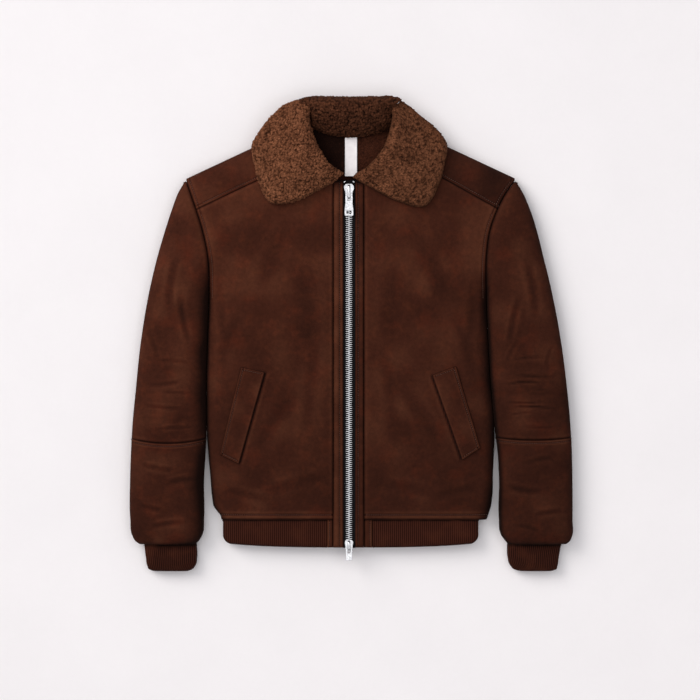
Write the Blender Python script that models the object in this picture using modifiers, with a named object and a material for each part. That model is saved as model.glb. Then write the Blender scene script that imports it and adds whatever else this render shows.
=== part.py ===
"""Shearling jacket laid on its back on a flat surface, zip closed, collar folded over the fronts.

X runs across the jacket, Y from hem to collar and Z up. Every panel is a wall lofted through sections:
its lower face lies on the layer below and its upper face is crowned, lower at the seams and rounded off
at the sides. All sizes in the tables are millimetres.
"""
import math

import bmesh
import bpy
import numpy as np

MM = 0.001

# Middle of the jacket's box in the tables' own numbers, moved to the origin at the end
MIDDLE_X = 0.7
MIDDLE_Y = -1.4

# Layers, bottom to top
SEAM = 0.35                 # gap between two pieces at a seam
BODY_PLANE = 17.0           # top of the body's back layer
SLEEVE_PLANE = 20.0         # top of the sleeves' back layer
CUFF_PLANE = 12.0           # top of the cuffs' back layer
BODY_WALL = 23.0            # front wall: hide and wool
SLEEVE_WALL = 27.0
HEM_WALL = 14.0
CUFF_WALL = 13.0
COLLAR_PLANE = 41.1         # underside of the collar leaves, just over the fronts
COLLAR_WALL = 14.0
FACING_WALL = 2.6
LABEL_WALL = 0.8
WELT_WALL = 2.6
UNDER_ROUND = 14.0          # how far in the underside is rounded, and how high it lifts
UNDER_LIFT = 8.0

# Shoulder line, the fold from neck to armhole, the same on both sides
SHOULDER_X = 257.0
SHOULDER_Y = 252.0
SHOULDER_SLOPE = 0.468
NECK_SEAM_Y = 315.4         # back neck seam at the centre, where it rises by NECK_SEAM_RISE to the sides
NECK_SEAM_X = 76.3
NECK_SEAM_RISE = 21.2
NECK_COLUMNS = (-NECK_SEAM_X, -50.0, -25.0, 0.0, 25.0, 50.0, NECK_SEAM_X)

# Zip
ZIP_X = -3.2
CHAIN_HALF = 5.6
TAPE_LEFT = -12.0
TAPE_RIGHT = 6.4
TAPE_TOP_Z = 33.6
TAPE_WALL = 0.9
CHAIN_WALL = 2.4
ZIP_TOP_Y = 246.0

# Placket strips, hem tabs, hem
PLACKET_LEFT = -28.6
PLACKET_RIGHT = 20.8
TAB_LEFT = -38.4
TAB_RIGHT = 34.4
HEM_TOP_Y = -298.4
HEM_LOW_Y = -343.2
HEM_SAG = 7.0               # the hem's lower edge lies higher at its sides
HEM_LEFT = -205.5
HEM_RIGHT = 204.5
HEM_CORNER = 14.0
RIB_PITCH = 3.2
RIB_DEPTH = 1.0

# Seam across the forearm: height at the sleeve's edges and how far it dips in the middle
ELBOW = {"left": {"edge": -168.0, "dip": 7.0}, "right": {"edge": -166.0, "dip": 4.0}}
FOREARM_END = -337.6
CUFF_TOP = -338.0

# Heights at which neighbouring panels have a row of points at the armhole and the side crease
EDGE_HEIGHTS = (-225.0, -170.0, -110.0, -50.0, 10.0, 60.0, 95.0, 122.0, 145.0, 165.0, 182.0)
CAP_HEIGHTS = (198.0, 214.0, 230.0)

# Body: y, left edge, right edge
BODY_COLUMNS = ("y", "left", "right")
BODY_ROWS = (
    (-298.4, -208.0, 219.2),
    (-292.0, -209.5, 223.0),
    (-285.6, -214.4, 226.5),
    (-277.0, -220.4, 230.5),
    (-266.0, -222.4, 232.4),
    (-221.6, -226.4, 233.4),
    (-186.4, -229.6, 233.0),
    (-146.4, -231.6, 229.6),
    (-93.6, -232.0, 224.8),
    (-16.8, -230.4, 220.0),
    (69.6, -227.6, 216.8),
    (122.4, -228.8, 216.4),
    (168.8, -238.4, 223.2),
    (199.2, -248.0, 234.4),
    (228.0, -257.6, 249.6),
    (245.6, -264.0, 262.4),
)

# Sleeves: y, outer edge and inner edge on each side
SLEEVE_COLUMNS = ("y", "left_outer", "left_inner", "right_inner", "right_outer")
SLEEVE_ROWS = (
    (-337.6, -339.2, -249.0, 252.0, 345.6),
    (-334.0, -344.5, -245.4, 248.8, 350.0),
    (-324.0, -350.8, -239.0, 241.4, 355.0),
    (-298.4, -354.0, -236.4, 238.0, 355.4),
    (-234.4, -354.4, -236.4, 238.2, 355.2),
    (-186.4, -352.8, -233.6, 235.6, 354.2),
    (-146.4, -350.6, -232.3, 230.3, 352.0),
    (-93.6, -345.6, -232.7, 225.5, 347.2),
    (-16.8, -337.6, -231.1, 220.7, 337.6),
    (69.6, -323.2, -228.3, 217.5, 321.6),
    (122.4, -310.7, -229.5, 217.1, 308.8),
    (168.8, -297.1, -239.1, 223.9, 297.1),
    (199.2, -287.2, -248.7, 235.1, 287.2),
    (228.0, -276.0, -258.3, 250.3, 274.4),
    (242.4, -267.2, -263.6, 260.4, 265.6),
)

# Cuffs: y, outer edge and inner edge on each side
CUFF_ROWS = (
    (-381.6, -318.0, -262.0, 272.0, 322.0),
    (-379.6, -323.5, -256.5, 264.0, 328.5),
    (-374.0, -327.2, -251.0, 257.2, 331.6),
    (-360.0, -329.8, -247.8, 252.2, 334.0),
    (-338.0, -332.5, -248.4, 251.4, 338.0),
)

# Folds pressed across the sleeves: side, y, depth, half width, slope across the sleeve
FOLD_COLUMNS = ("side", "y", "depth", "half", "slope")
FOLDS = (
    ("right", -55.0, 1.8, 7.0, 0.05),
    ("right", -98.0, 2.2, 7.0, -0.04),
    ("right", -138.0, 1.8, 7.0, 0.02),
    ("left", -62.0, 1.4, 8.0, 0.06),
    ("left", -140.0, 1.6, 8.0, -0.05),
)

# Neckline of the fronts, centre to shoulder, and the yoke seam, neck to armhole: x, y
NECKLINE = {
    "left": ((-28.6, 254.2), (-33.5, 257.2), (-45.1, 267.8), (-57.5, 287.0)),
    "right": ((20.8, 252.6), (30.0, 257.6), (40.6, 268.2), (61.0, 295.4)),
}
YOKE_SEAM = {
    "left": ((-57.5, 287.0), (-147.2, 245.6), (-204.8, 218.4), (-250.0, 197.0)),
    "right": ((61.0, 295.4), (163.2, 239.2), (228.8, 202.4), (240.0, 196.2)),
}
# Neck edge of the yokes: y, x
YOKE_NECK = {
    "left": ((287.0, -58.6), (301.2, -64.8), (320.0, -71.2), (338.3, -75.4)),
    "right": ((295.4, 62.4), (301.2, 63.6), (320.0, 69.6), (338.3, 74.0)),
}

# Pocket welts, corners as x, y
WELTS = {
    "left": {"top_out": (-176.0, -53.6), "top_in": (-137.6, -61.6),
             "low_in": (-179.2, -208.8), "low_out": (-210.0, -193.6)},
    "right": {"top_out": (168.0, -52.0), "top_in": (129.6, -66.4),
              "low_in": (177.6, -202.4), "low_out": (207.0, -183.2)},
}

# Collar leaves, back to tip: neck edge, outer edge, height of the roll over the leaf's underside
LEAF_COLUMNS = ("inner_x", "inner_y", "outer_x", "outer_y", "roll")
LEAVES = {
    "left": (
        (-67.2, 354.4, -88.0, 375.2, 25.0),
        (-65.6, 335.2, -118.4, 354.4, 27.0),
        (-60.8, 319.2, -142.4, 327.2, 27.0),
        (-54.4, 301.6, -157.6, 296.8, 25.0),
        (-46.4, 287.2, -152.0, 261.6, 23.0),
        (-36.8, 272.8, -142.4, 229.6, 20.0),
        (-25.6, 263.2, -124.8, 208.0, 17.0),
        (-18.5, 259.5, -81.6, 214.4, 14.0),
        (-12.6, 255.4, -25.6, 244.0, 10.0),
    ),
    "right": (
        (65.6, 354.4, 83.2, 373.6, 25.0),
        (64.0, 335.2, 107.2, 351.2, 27.0),
        (59.2, 317.6, 136.0, 327.2, 27.0),
        (52.8, 300.0, 153.6, 301.6, 25.0),
        (43.2, 285.6, 149.6, 269.6, 23.0),
        (32.0, 272.8, 140.8, 237.6, 20.0),
        (22.4, 264.0, 118.4, 203.2, 17.0),
        (9.6, 257.0, 75.2, 210.4, 14.0),
        (2.4, 249.2, 12.0, 243.2, 10.0),
    ),
}
LEG = 9.0                   # thickness of the collar's stand, which goes down inside the neck
LEG_ROWS = 7                # rows of a leaf that have the stand under them

# Back of the collar: y, left edge and right edge of the stand between the leaves
STAND_ROWS = (
    (315.0, -58.0, 57.0),
    (328.0, -62.2, 61.2),
    (335.2, -64.4, 62.8),
    (354.4, -65.4, 63.8),
    (366.0, -76.8, 74.2),
    (374.0, -84.8, 81.4),
)
STAND_TOP_Y = 380.0
STAND_TOP_DIP = 1.4
STAND_LOW_Z = 31.0          # at the neck seam
STAND_ROLL_Z = 64.0         # at the roll

# Part of the collar folded behind the shoulder: x, outline
FALL_START = {"left": -75.4, "right": 74.0}
FALL_OUTLINE = {
    "left": ((-75.4, 361.0), (-87.0, 371.0), (-118.4, 351.5), (-142.4, 324.0), (-150.0, 312.0)),
    "right": ((74.0, 362.0), (83.6, 369.0), (107.2, 348.5), (136.0, 324.5), (147.0, 311.0)),
}

# Back-neck facing: y, left edge, right edge
FACING_ROWS = (
    (262.5, -23.6, 20.2),
    (272.8, -35.8, 31.0),
    (287.2, -45.4, 43.0),
    (301.0, -53.2, 52.2),
    (312.0, -57.4, 56.4),
    (328.0, -62.4, 61.4),
)
LABEL_HALF = 9.6
LABEL_LOW_Y = 252.6

# Sliders: y of both ends, hinge axis, half widths at the shoulders, waist and mouth
SLIDER_LOW_Z = 33.95
SLIDER_WALL = 5.45
HINGE_Z = 40.8
CROWN_HALF = 2.1
CROWN_TOP_Z = 43.6
CROWN_HOLE_HALF = 2.8
CROWN_HOLE_TOP_Z = 42.2
CROWN_LEG = 2.2
PULL_WALL = 1.6
SLOT_HALF = 2.55
SLOT_LENGTH = 8.2
SLIDERS = {
    "top": {"high": 239.2, "low": 213.6, "axis": 219.9, "wide": 8.0, "waist": 5.6, "mouth": 5.8},
    "bottom": {"high": -329.5, "low": -348.2, "axis": -342.6, "wide": 6.8, "waist": 5.8, "mouth": 6.4},
}
PULLS = {
    "top": {"end": 188.0, "eye": 5.9, "neck": 5.5, "foot": 7.0, "hole_half": 3.9, "hole": (191.0, 196.2)},
    "bottom": {"end": -362.4, "eye": 5.2, "neck": 4.9, "foot": 5.0, "hole_half": 0.0, "hole": ()},
}

SLOTS = {
    "suede": {"colour": (0.066, 0.021, 0.012, 1.0), "roughness": 0.85, "metallic": 0.0},
    "curly_wool": {"colour": (0.112, 0.044, 0.022, 1.0), "roughness": 0.95, "metallic": 0.0},
    "rib_knit": {"colour": (0.034, 0.011, 0.007, 1.0), "roughness": 0.9, "metallic": 0.0},
    "facing": {"colour": (0.034, 0.012, 0.008, 1.0), "roughness": 0.9, "metallic": 0.0},
    "zip_metal": {"colour": (0.62, 0.6, 0.58, 1.0), "roughness": 0.25, "metallic": 1.0},
    "zip_tape": {"colour": (0.008, 0.006, 0.006, 1.0), "roughness": 0.8, "metallic": 0.0},
    "label": {"colour": (0.86, 0.83, 0.83, 1.0), "roughness": 0.7, "metallic": 0.0},
}


# Numbers along curves

def follow(rows, key, value, at):
    """Smooth curve through the rows of a table, read at any place: a cubic with the rows' own slopes."""
    table = np.array(sorted(rows, key=lambda row: row[key]), dtype=float)
    xs = table[:, key]
    ys = table[:, value]
    slopes = np.gradient(ys, xs)
    at = np.clip(at, xs[0], xs[-1])
    i = np.clip(np.searchsorted(xs, at) - 1, 0, len(xs) - 2)
    step = xs[i + 1] - xs[i]
    t = (at - xs[i]) / step
    near = (2 * t ** 3 - 3 * t ** 2 + 1) * ys[i] + (t ** 3 - 2 * t ** 2 + t) * step * slopes[i]
    far = (3 * t ** 2 - 2 * t ** 3) * ys[i + 1] + (t ** 3 - t ** 2) * step * slopes[i + 1]
    return near + far


def polyline(points, key, value, at):
    """Straight runs through a few points, read at any place."""
    table = np.array(sorted(points, key=lambda row: row[key]), dtype=float)
    return np.interp(at, table[:, key], table[:, value])


def rise(distance, reach):
    """Quarter round: 0 at an edge, 1 from reach inwards."""
    t = np.clip(distance / reach, 0.0, 1.0)
    return np.sqrt(1.0 - (1.0 - t) ** 2)


def ramp(value, low, high):
    """Smooth step from 0 at low to 1 at high."""
    t = np.clip((value - low) / (high - low), 0.0, 1.0)
    return t * t * (3.0 - 2.0 * t)


def crown(wall, *edges):
    """Wall thickness, lowered towards each edge given as distance, reach and share lost."""
    thick = wall
    for distance, reach, loss in edges:
        thick = thick * (1.0 - loss * (1.0 - rise(distance, reach)))
    return thick


def stations(length, start, end, count):
    """Places from 0 to 1 along a length: set distances at both ends and an even run between."""
    middle = np.linspace(start[-1], length - end[-1], count + 2)[1:-1]
    places = np.concatenate([start, middle, length - np.array(end[::-1], dtype=float)])
    return places / length


def heights(low, high, at):
    """Places from 0 to 1 of a list of heights on an edge that runs from low to high."""
    return (np.array(at) - low) / (high - low)


def shoulder(x):
    """Height of the shoulder line at x."""
    return SHOULDER_Y + (SHOULDER_X - np.abs(x)) * SHOULDER_SLOPE


def neck_seam(x):
    """Height of the back neck seam at x, straight between the columns that meet there."""
    columns = np.array(NECK_COLUMNS)
    return np.interp(x, columns, NECK_SEAM_Y + NECK_SEAM_RISE * (columns / NECK_SEAM_X) ** 2)


# Building

def material(slot):
    """The slot's own material."""
    found = bpy.data.materials.get(slot)
    if found:
        return found
    made = bpy.data.materials.new(slot)
    made.use_nodes = True
    shader = made.node_tree.nodes["Principled BSDF"]
    shader.inputs["Base Color"].default_value = SLOTS[slot]["colour"]
    shader.inputs["Roughness"].default_value = SLOTS[slot]["roughness"]
    shader.inputs["Metallic"].default_value = SLOTS[slot]["metallic"]
    return made


def add(name, mesh, slot, collection):
    """An object of its own for one piece."""
    mesh.materials.clear()
    mesh.materials.append(material(slot))
    made = bpy.data.objects.new(name, mesh)
    collection.objects.link(made)
    return made


def wall(name, x, y, low, high, slot, collection):
    """Closed wall lofted through sections, one section for each row of the arrays."""
    rows, columns = x.shape
    top = np.stack([x, y, high], axis=-1).reshape(-1, 3) * MM
    bottom = np.stack([x, y, low], axis=-1).reshape(-1, 3) * MM
    bm = bmesh.new()
    upper = [bm.verts.new(point) for point in top]
    lower = [bm.verts.new(point) for point in bottom]
    rim = list(range(columns - 1))
    rim += [i * columns + columns - 1 for i in range(rows - 1)]
    rim += [(rows - 1) * columns + j for j in range(columns - 1, 0, -1)]
    rim += [i * columns for i in range(rows - 1, 0, -1)]
    for face, heights in ((upper, high), (lower, low)):
        if np.ptp(heights) == 0.0:
            bm.faces.new([face[a] for a in rim])
            continue
        for i in range(rows - 1):
            for j in range(columns - 1):
                a = i * columns + j
                b = a + columns
                bm.faces.new((face[a], face[a + 1], face[b + 1], face[b]))
    for a, b in zip(rim, rim[1:] + rim[:1]):
        bm.faces.new((lower[a], lower[b], upper[b], upper[a]))
    loose = [vertex for vertex in bm.verts if not vertex.link_faces]
    bmesh.ops.delete(bm, geom=loose, context="VERTS")
    bmesh.ops.recalc_face_normals(bm, faces=bm.faces)
    mesh = bpy.data.meshes.new(name)
    bm.to_mesh(mesh)
    bm.free()
    mesh.shade_smooth()
    mesh.set_sharp_from_angle(angle=math.radians(50))
    return add(name, mesh, slot, collection)


def settle(across, y_from, y_to, columns, vs):
    """Points whose x follows their height and whose height follows their x, found by repeating both."""
    v = np.repeat(np.array(vs)[:, None], columns, axis=1)
    y = np.zeros_like(v)
    for _ in range(60):
        x = across(y)
        y = y_from(x) * (1 - v) + y_to(x) * v
    return across(y), y


def spread(x_from, x_to, y_from, y_to, us, vs):
    """Points of a panel between two side edges, given by height, and two end edges, given by x."""
    u = np.array(us)[None, :]
    return settle(lambda y: x_from(y) * (1 - u) + x_to(y) * u, y_from, y_to, len(us), vs)


def between(x_from, x_to, y_from, y_to, inset, fixed, vs):
    """Points of a panel whose middle columns stand at set places, with columns inset from its side edges."""
    count = 2 * len(inset) + len(fixed)

    def across(y):
        ends = []
        for j in range(count):
            if j < len(inset):
                ends.append(x_from(y[:, j]) + inset[j])
            elif j >= count - len(inset):
                ends.append(x_to(y[:, j]) - inset[count - 1 - j])
            else:
                ends.append(np.full(len(y), fixed[j - len(inset)]))
        return np.stack(ends, axis=1)

    return settle(across, y_from, y_to, count, vs)


def outline_mesh(name, outline, holes, low, high, axis):
    """Flat outline with holes, extruded from low to high along Z, or along X for a profile in Y and Z."""
    curve = bpy.data.curves.new(name, "CURVE")
    curve.dimensions = "2D"
    curve.fill_mode = "BOTH"
    curve.extrude = (high - low) / 2 * MM
    for ring in (outline,) + tuple(holes):
        spline = curve.splines.new("POLY")
        spline.points.add(len(ring) - 1)
        for point, (a, b) in zip(spline.points, ring):
            point.co = (a * MM, b * MM, 0.0, 1.0)
        spline.use_cyclic_u = True
    holder = bpy.data.objects.new(name, curve)
    bpy.context.scene.collection.objects.link(holder)
    bpy.context.view_layer.update()
    evaluated = holder.evaluated_get(bpy.context.evaluated_depsgraph_get())
    mesh = bpy.data.meshes.new_from_object(evaluated)
    bpy.data.objects.remove(holder)
    middle = (low + high) / 2 * MM
    for vertex in mesh.vertices:
        a, b, c = vertex.co
        if axis == "Z":
            vertex.co = (a, b, c + middle)
        else:
            vertex.co = (c + middle, a, b)
    bm = bmesh.new()
    bm.from_mesh(mesh)
    bmesh.ops.remove_doubles(bm, verts=bm.verts, dist=0.00001)
    bmesh.ops.recalc_face_normals(bm, faces=bm.faces)
    bm.to_mesh(mesh)
    bm.free()
    return mesh


# Body

def body_edge(side, inset):
    """Side edge of the body by height, moved in by inset."""
    column = BODY_COLUMNS.index(side)
    sign = 1.0 if side == "left" else -1.0
    return lambda y: follow(BODY_ROWS, 0, column, y) + sign * inset


def front_top(side, x, y):
    """Upper face of a front, which the welts follow too."""
    sign = -1.0 if side == "left" else 1.0
    inner = PLACKET_LEFT if side == "left" else PLACKET_RIGHT
    outer = body_edge(side, 0.0)(y)
    armhole = ramp(y, 60.0, 130.0)
    top = front_end(side)(x)
    stitched = y - HEM_TOP_Y
    ridge = 1.1 * np.exp(-((stitched - 4.2) / 1.9) ** 2)
    wall_here = crown(
        BODY_WALL,
        (sign * (x - inner), 12.0, 0.14),
        (sign * (outer - x), 44.0 - 28.0 * armhole, 0.84 - 0.66 * armhole),
        (top - y, 12.0, 0.12),
        (stitched, 34.0, 0.30),
    )
    return BODY_PLANE + SEAM + wall_here + ridge


def front_end(side):
    """Upper end of a front by x: the neckline, then the yoke seam."""
    points = NECKLINE[side] + YOKE_SEAM[side][1:]
    return lambda x: polyline(points, 0, 1, x)


def fronts(collection):
    """Left and right front."""
    columns = np.array([0.0, 0.14, 0.32, 0.5, 0.66, 0.79, 0.88, 0.94, 0.98, 1.0])
    for side in ("left", "right"):
        near = [point[0] for point in NECKLINE[side]]
        near[0] = near[0] - SEAM if side == "left" else near[0] + SEAM
        last = near.pop()
        outer = body_edge(side, 0.0)
        top_y = YOKE_SEAM[side][-1][1]
        rows = heights(HEM_TOP_Y, top_y, (HEM_TOP_Y, -296.2, -294.2, -292.0, -286.0, -274.0) + EDGE_HEIGHTS
                       + (top_y - 4.0, top_y))

        def across(y, near=near, last=last, outer=outer):
            fixed = np.broadcast_to(np.array(near)[None, :], (len(y), len(near)))
            rest = last * (1 - columns) + outer(y[:, len(near):]) * columns
            return np.concatenate([fixed, rest], axis=1)

        x, y = settle(across, lambda x: np.full_like(x, HEM_TOP_Y), lambda x, side=side: front_end(side)(x) - SEAM,
                      len(near) + len(columns), rows)
        low = np.full_like(x, BODY_PLANE + SEAM)
        wall("front_" + side, x, y, low, front_top(side, x, y), "suede", collection)


def yokes(collection):
    """Shoulder yokes, from the yoke seam over the shoulder line."""
    columns = np.array([0.0, 0.05, 0.15, 0.32, 0.5, 0.68, 0.84, 0.93, 1.0])
    rows = np.array([0.0, 0.08, 0.31, 0.63, 0.82, 0.94, 1.0])
    for side in ("left", "right"):
        sign = -1.0 if side == "left" else 1.0
        neck = lambda y, side=side: polyline(YOKE_NECK[side], 0, 1, y)
        seam = lambda x, side=side: polyline(YOKE_SEAM[side], 0, 1, x)
        x, y = spread(neck, body_edge(side, 0.0), lambda x: seam(x) + SEAM, shoulder, columns, rows)
        thick = crown(
            BODY_WALL,
            (sign * (x - neck(y)), 10.0, 0.2),
            (sign * (body_edge(side, 0.0)(y) - x), 16.0, 0.18),
            (y - seam(x), 12.0, 0.12),
            (shoulder(x) - y, 34.0, 0.86),
        )
        low = np.full_like(x, BODY_PLANE + SEAM)
        wall("yoke_" + side, x, y, low, low + thick, "suede", collection)


def back(collection):
    """Back panel, which the jacket rests on."""
    rows = heights(HEM_TOP_Y, shoulder(BODY_ROWS[-1][1]), (HEM_TOP_Y, -286.0, -274.0) + EDGE_HEIGHTS
                   + CAP_HEIGHTS + (242.0, shoulder(BODY_ROWS[-1][1])))
    left = body_edge("left", 0.0)
    right = body_edge("right", 0.0)
    top = lambda x: np.minimum(shoulder(x), neck_seam(x))
    fixed = (-165.0, -120.0) + NECK_COLUMNS + (120.0, 165.0)
    x, y = between(left, right, lambda x: np.full_like(x, HEM_TOP_Y), top, (0.0, 4.0, 14.0), fixed, rows)
    nearest = np.minimum(np.minimum(x - left(y), right(y) - x), top(x) - y)
    low = UNDER_LIFT * (1.0 - rise(nearest, UNDER_ROUND))
    wall("back", x, y, low, np.full_like(x, BODY_PLANE), "suede", collection)


def plackets(collection):
    """Suede strips beside the zip: full height up to the tape, then a low step under it."""
    step_z = TAPE_TOP_Z - TAPE_WALL - SEAM
    rows = np.concatenate([[HEM_LOW_Y, HEM_LOW_Y + 3.0], np.linspace(-298.0, 234.0, 8), [243.0, ZIP_TOP_Y]])
    profile = ((0.0, 16.6), (0.1, 19.4), (0.26, 20.6), (0.56, 20.4), (0.66, 19.2), (0.76, 19.9), (0.93, 19.2),
               (1.0, 17.0))
    for side in ("left", "right"):
        outer = PLACKET_LEFT if side == "left" else PLACKET_RIGHT
        edge = TAPE_LEFT - SEAM if side == "left" else TAPE_RIGHT + SEAM
        centre = ZIP_X - SEAM / 2 if side == "left" else ZIP_X + SEAM / 2
        across = [outer + (edge - outer) * place for place, _ in profile]
        tops = [BODY_PLANE + SEAM + thick for _, thick in profile]
        toward = 1.0 if side == "left" else -1.0
        across += [edge + toward * 0.05, centre]
        tops += [step_z, step_z]
        x, y = np.meshgrid(across, rows)
        high, _ = np.meshgrid(tops, rows)
        ends = rise(y - HEM_LOW_Y + 0.4, 5.0) * rise(ZIP_TOP_Y - y + 0.4, 5.0)
        low = np.full_like(x, BODY_PLANE + SEAM)
        high = np.where(high > step_z, np.maximum(low + 8.0, low + (high - low) * ends), high)
        wall("placket_" + side, x, y, low, high, "suede", collection)


def welts(collection):
    """Pocket welts on the fronts, made from the fronts' upper face moved out."""
    columns = np.array([0.0, 0.06, 0.2, 0.5, 0.8, 0.94, 1.0])
    rows = np.array([0.0, 0.015, 0.06, 0.2, 0.35, 0.5, 0.65, 0.8, 0.94, 0.985, 1.0])
    u, v = np.meshgrid(columns, rows)
    for side in ("left", "right"):
        corner = WELTS[side]
        x, y = [
            (corner["low_in"][k] * (1 - u) + corner["low_out"][k] * u) * (1 - v)
            + (corner["top_in"][k] * (1 - u) + corner["top_out"][k] * u) * v
            for k in (0, 1)
        ]
        across = np.minimum(u, 1 - u) * 34.0
        along = np.minimum(v, 1 - v) * 150.0
        low = front_top(side, x, y) + 2 * SEAM
        high = low + crown(WELT_WALL, (across, 3.0, 0.5), (along, 3.0, 0.5))
        wall("pocket_welt_" + side, x, y, low, high, "suede", collection)


# Hem

def hem_low(x):
    """Lower edge of the hem by x: a slow curve with rounded corners."""
    middle = (HEM_LEFT + HEM_RIGHT) / 2
    half = (HEM_RIGHT - HEM_LEFT) / 2
    away = np.abs(x - middle)
    curve = HEM_LOW_Y + HEM_SAG * (away / half) ** 3
    corner = HEM_CORNER * (1.0 - rise(half - away + 0.3, HEM_CORNER))
    return curve + corner


def hems(collection):
    """Rib-knit hem, in two front pieces and one behind, and the suede tabs beside the zip."""
    rows = np.array([0.0, 0.12, 1.0])
    for side in ("left", "right"):
        inner = TAB_LEFT - SEAM if side == "left" else TAB_RIGHT + SEAM
        outer = HEM_LEFT if side == "left" else HEM_RIGHT
        ribs = int(abs(outer - inner) / RIB_PITCH)
        columns = np.linspace(0.0, 1.0, 2 * ribs + 1)
        u, v = np.meshgrid(columns, rows)
        x = inner + (outer - inner) * u
        y = hem_low(x) * (1 - v) + (HEM_TOP_Y - SEAM) * v
        wave = np.where(np.arange(2 * ribs + 1) % 2 == 1, 0.0, -RIB_DEPTH)
        thick = crown(HEM_WALL, (np.abs(outer - x), 22.0, 0.75), (y - hem_low(x), 6.0, 0.45),
                      (HEM_TOP_Y - y, 6.0, 0.12))
        low = np.full_like(x, BODY_PLANE + SEAM)
        wall("hem_rib_" + side, x, y, low, low + thick + wave, "rib_knit", collection)

        tab = TAB_LEFT if side == "left" else TAB_RIGHT
        strip = PLACKET_LEFT - SEAM if side == "left" else PLACKET_RIGHT + SEAM
        u, v = np.meshgrid(np.array([0.0, 0.2, 0.6, 0.85, 1.0]), np.array([0.0, 0.08, 0.5, 0.94, 1.0]))
        x = strip + (tab - strip) * u
        y = (HEM_LOW_Y + 0.6) * (1 - v) + (HEM_TOP_Y - SEAM) * v
        thick = crown(HEM_WALL + 2.5, (np.abs(x - strip), 2.0, 0.15), (np.abs(x - tab), 3.5, 0.25),
                      (y - HEM_LOW_Y, 5.0, 0.4))
        low = np.full_like(x, BODY_PLANE + SEAM)
        wall("hem_tab_" + side, x, y, low, low + thick, "suede", collection)

    u, v = np.meshgrid(np.array([0.0, 0.012, 0.035, 0.1, 0.3, 0.5, 0.7, 0.9, 0.965, 0.988, 1.0]),
                       np.array([0.0, 0.12, 0.3, 1.0]))
    x = HEM_LEFT + (HEM_RIGHT - HEM_LEFT) * u
    y = hem_low(x) * (1 - v) + (HEM_TOP_Y - SEAM) * v
    nearest = np.minimum(np.minimum(x - HEM_LEFT, HEM_RIGHT - x), y - hem_low(x))
    low = UNDER_LIFT * (1.0 - rise(nearest, UNDER_ROUND))
    wall("hem_rib_back", x, y, low, np.full_like(x, BODY_PLANE), "rib_knit", collection)


# Sleeves

def sleeve_edge(rows, side, where):
    """Outer or inner edge of a sleeve or cuff by height."""
    column = SLEEVE_COLUMNS.index(side + "_" + where)
    return lambda y: follow(rows, 0, column, y)


def elbow(side, x):
    """Seam across the forearm, lower in the middle of the sleeve."""
    edge = ELBOW[side]["edge"]
    inner = sleeve_edge(SLEEVE_ROWS, side, "inner")(edge)
    outer = sleeve_edge(SLEEVE_ROWS, side, "outer")(edge)
    t = np.clip((x - inner) / (outer - inner), 0.0, 1.0)
    return edge - ELBOW[side]["dip"] * 4.0 * t * (1.0 - t)


def sleeve_pair(name, side, x, y, seam_top, seam_low, end_loss, collection):
    """Front and back wall of one stretch of a sleeve."""
    inner = sleeve_edge(SLEEVE_ROWS, side, "inner")(y)
    outer = sleeve_edge(SLEEVE_ROWS, side, "outer")(y)
    armhole = ramp(y, 50.0, 130.0)
    from_inner = np.abs(x - inner)
    from_outer = np.abs(x - outer)
    thick = crown(
        SLEEVE_WALL,
        (from_inner, 46.0 - 26.0 * armhole, 0.86 - 0.44 * armhole),
        (from_outer, 50.0, 0.86),
        (seam_top - y, 10.0, 0.10 if end_loss else 0.0),
        (y - seam_low, 26.0 if end_loss else 10.0, end_loss or 0.10),
    )
    for fold in FOLDS:
        row = dict(zip(FOLD_COLUMNS, fold))
        if row["side"] == side:
            off = y - row["y"] - row["slope"] * (x - (inner + outer) / 2)
            thick = thick - row["depth"] * np.exp(-(off / (0.6 * row["half"])) ** 2) * rise(from_outer, 40.0)
    if end_loss:
        thick = thick + 0.9 * np.exp(-((seam_top - y - 3.2) / 1.8) ** 2)
    low = np.full_like(x, SLEEVE_PLANE + SEAM)
    wall(name + "_front_" + side, x, y, low, low + thick, "suede", collection)
    nearest = np.minimum(from_inner, from_outer)
    under = 1.25 * UNDER_LIFT * (1.0 - rise(nearest, 1.3 * UNDER_ROUND))
    if end_loss:
        under = np.maximum(under, 4.0 * (1.0 - rise(y - seam_low, 8.0)))
    wall(name + "_back_" + side, x, y, under, np.full_like(x, SLEEVE_PLANE), "suede", collection)


def sleeves(collection):
    """Upper sleeves and forearms."""
    columns = np.array([0.0, 0.03, 0.09, 0.2, 0.35, 0.5, 0.65, 0.8, 0.91, 0.97, 1.0])
    for side in ("left", "right"):
        edges = [sleeve_edge(SLEEVE_ROWS, side, where) for where in ("inner", "outer")]
        seam = lambda x, side=side: elbow(side, x)
        top_y = SLEEVE_ROWS[-1][0]
        low_y = ELBOW[side]["edge"]
        folds = [fold[1] for fold in FOLDS if fold[0] == side]
        near = [y + step for y in folds for step in (-7.0, 0.0, 7.0)]
        above = [y for y in EDGE_HEIGHTS + CAP_HEIGHTS if y > 0.0]
        rows = heights(low_y, top_y, sorted([low_y, low_y + 2.0, low_y + 6.0] + near + above + [238.0, top_y]))
        x, y = spread(*edges, seam, lambda x: np.full_like(x, top_y), columns, rows)
        sleeve_pair("upper_sleeve", side, x, y, np.full_like(x, top_y), seam(x), 0.0, collection)

        rows = stations(168.0, (0.0, 1.5, 5.0, 12.0, 24.0), (0.0, 1.6, 3.2, 5.2, 9.0), 4)
        x, y = spread(*edges, lambda x: np.full_like(x, FOREARM_END), lambda x: seam(x) - SEAM, columns, rows)
        sleeve_pair("forearm", side, x, y, seam(x), np.full_like(x, FOREARM_END), 0.5, collection)


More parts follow.
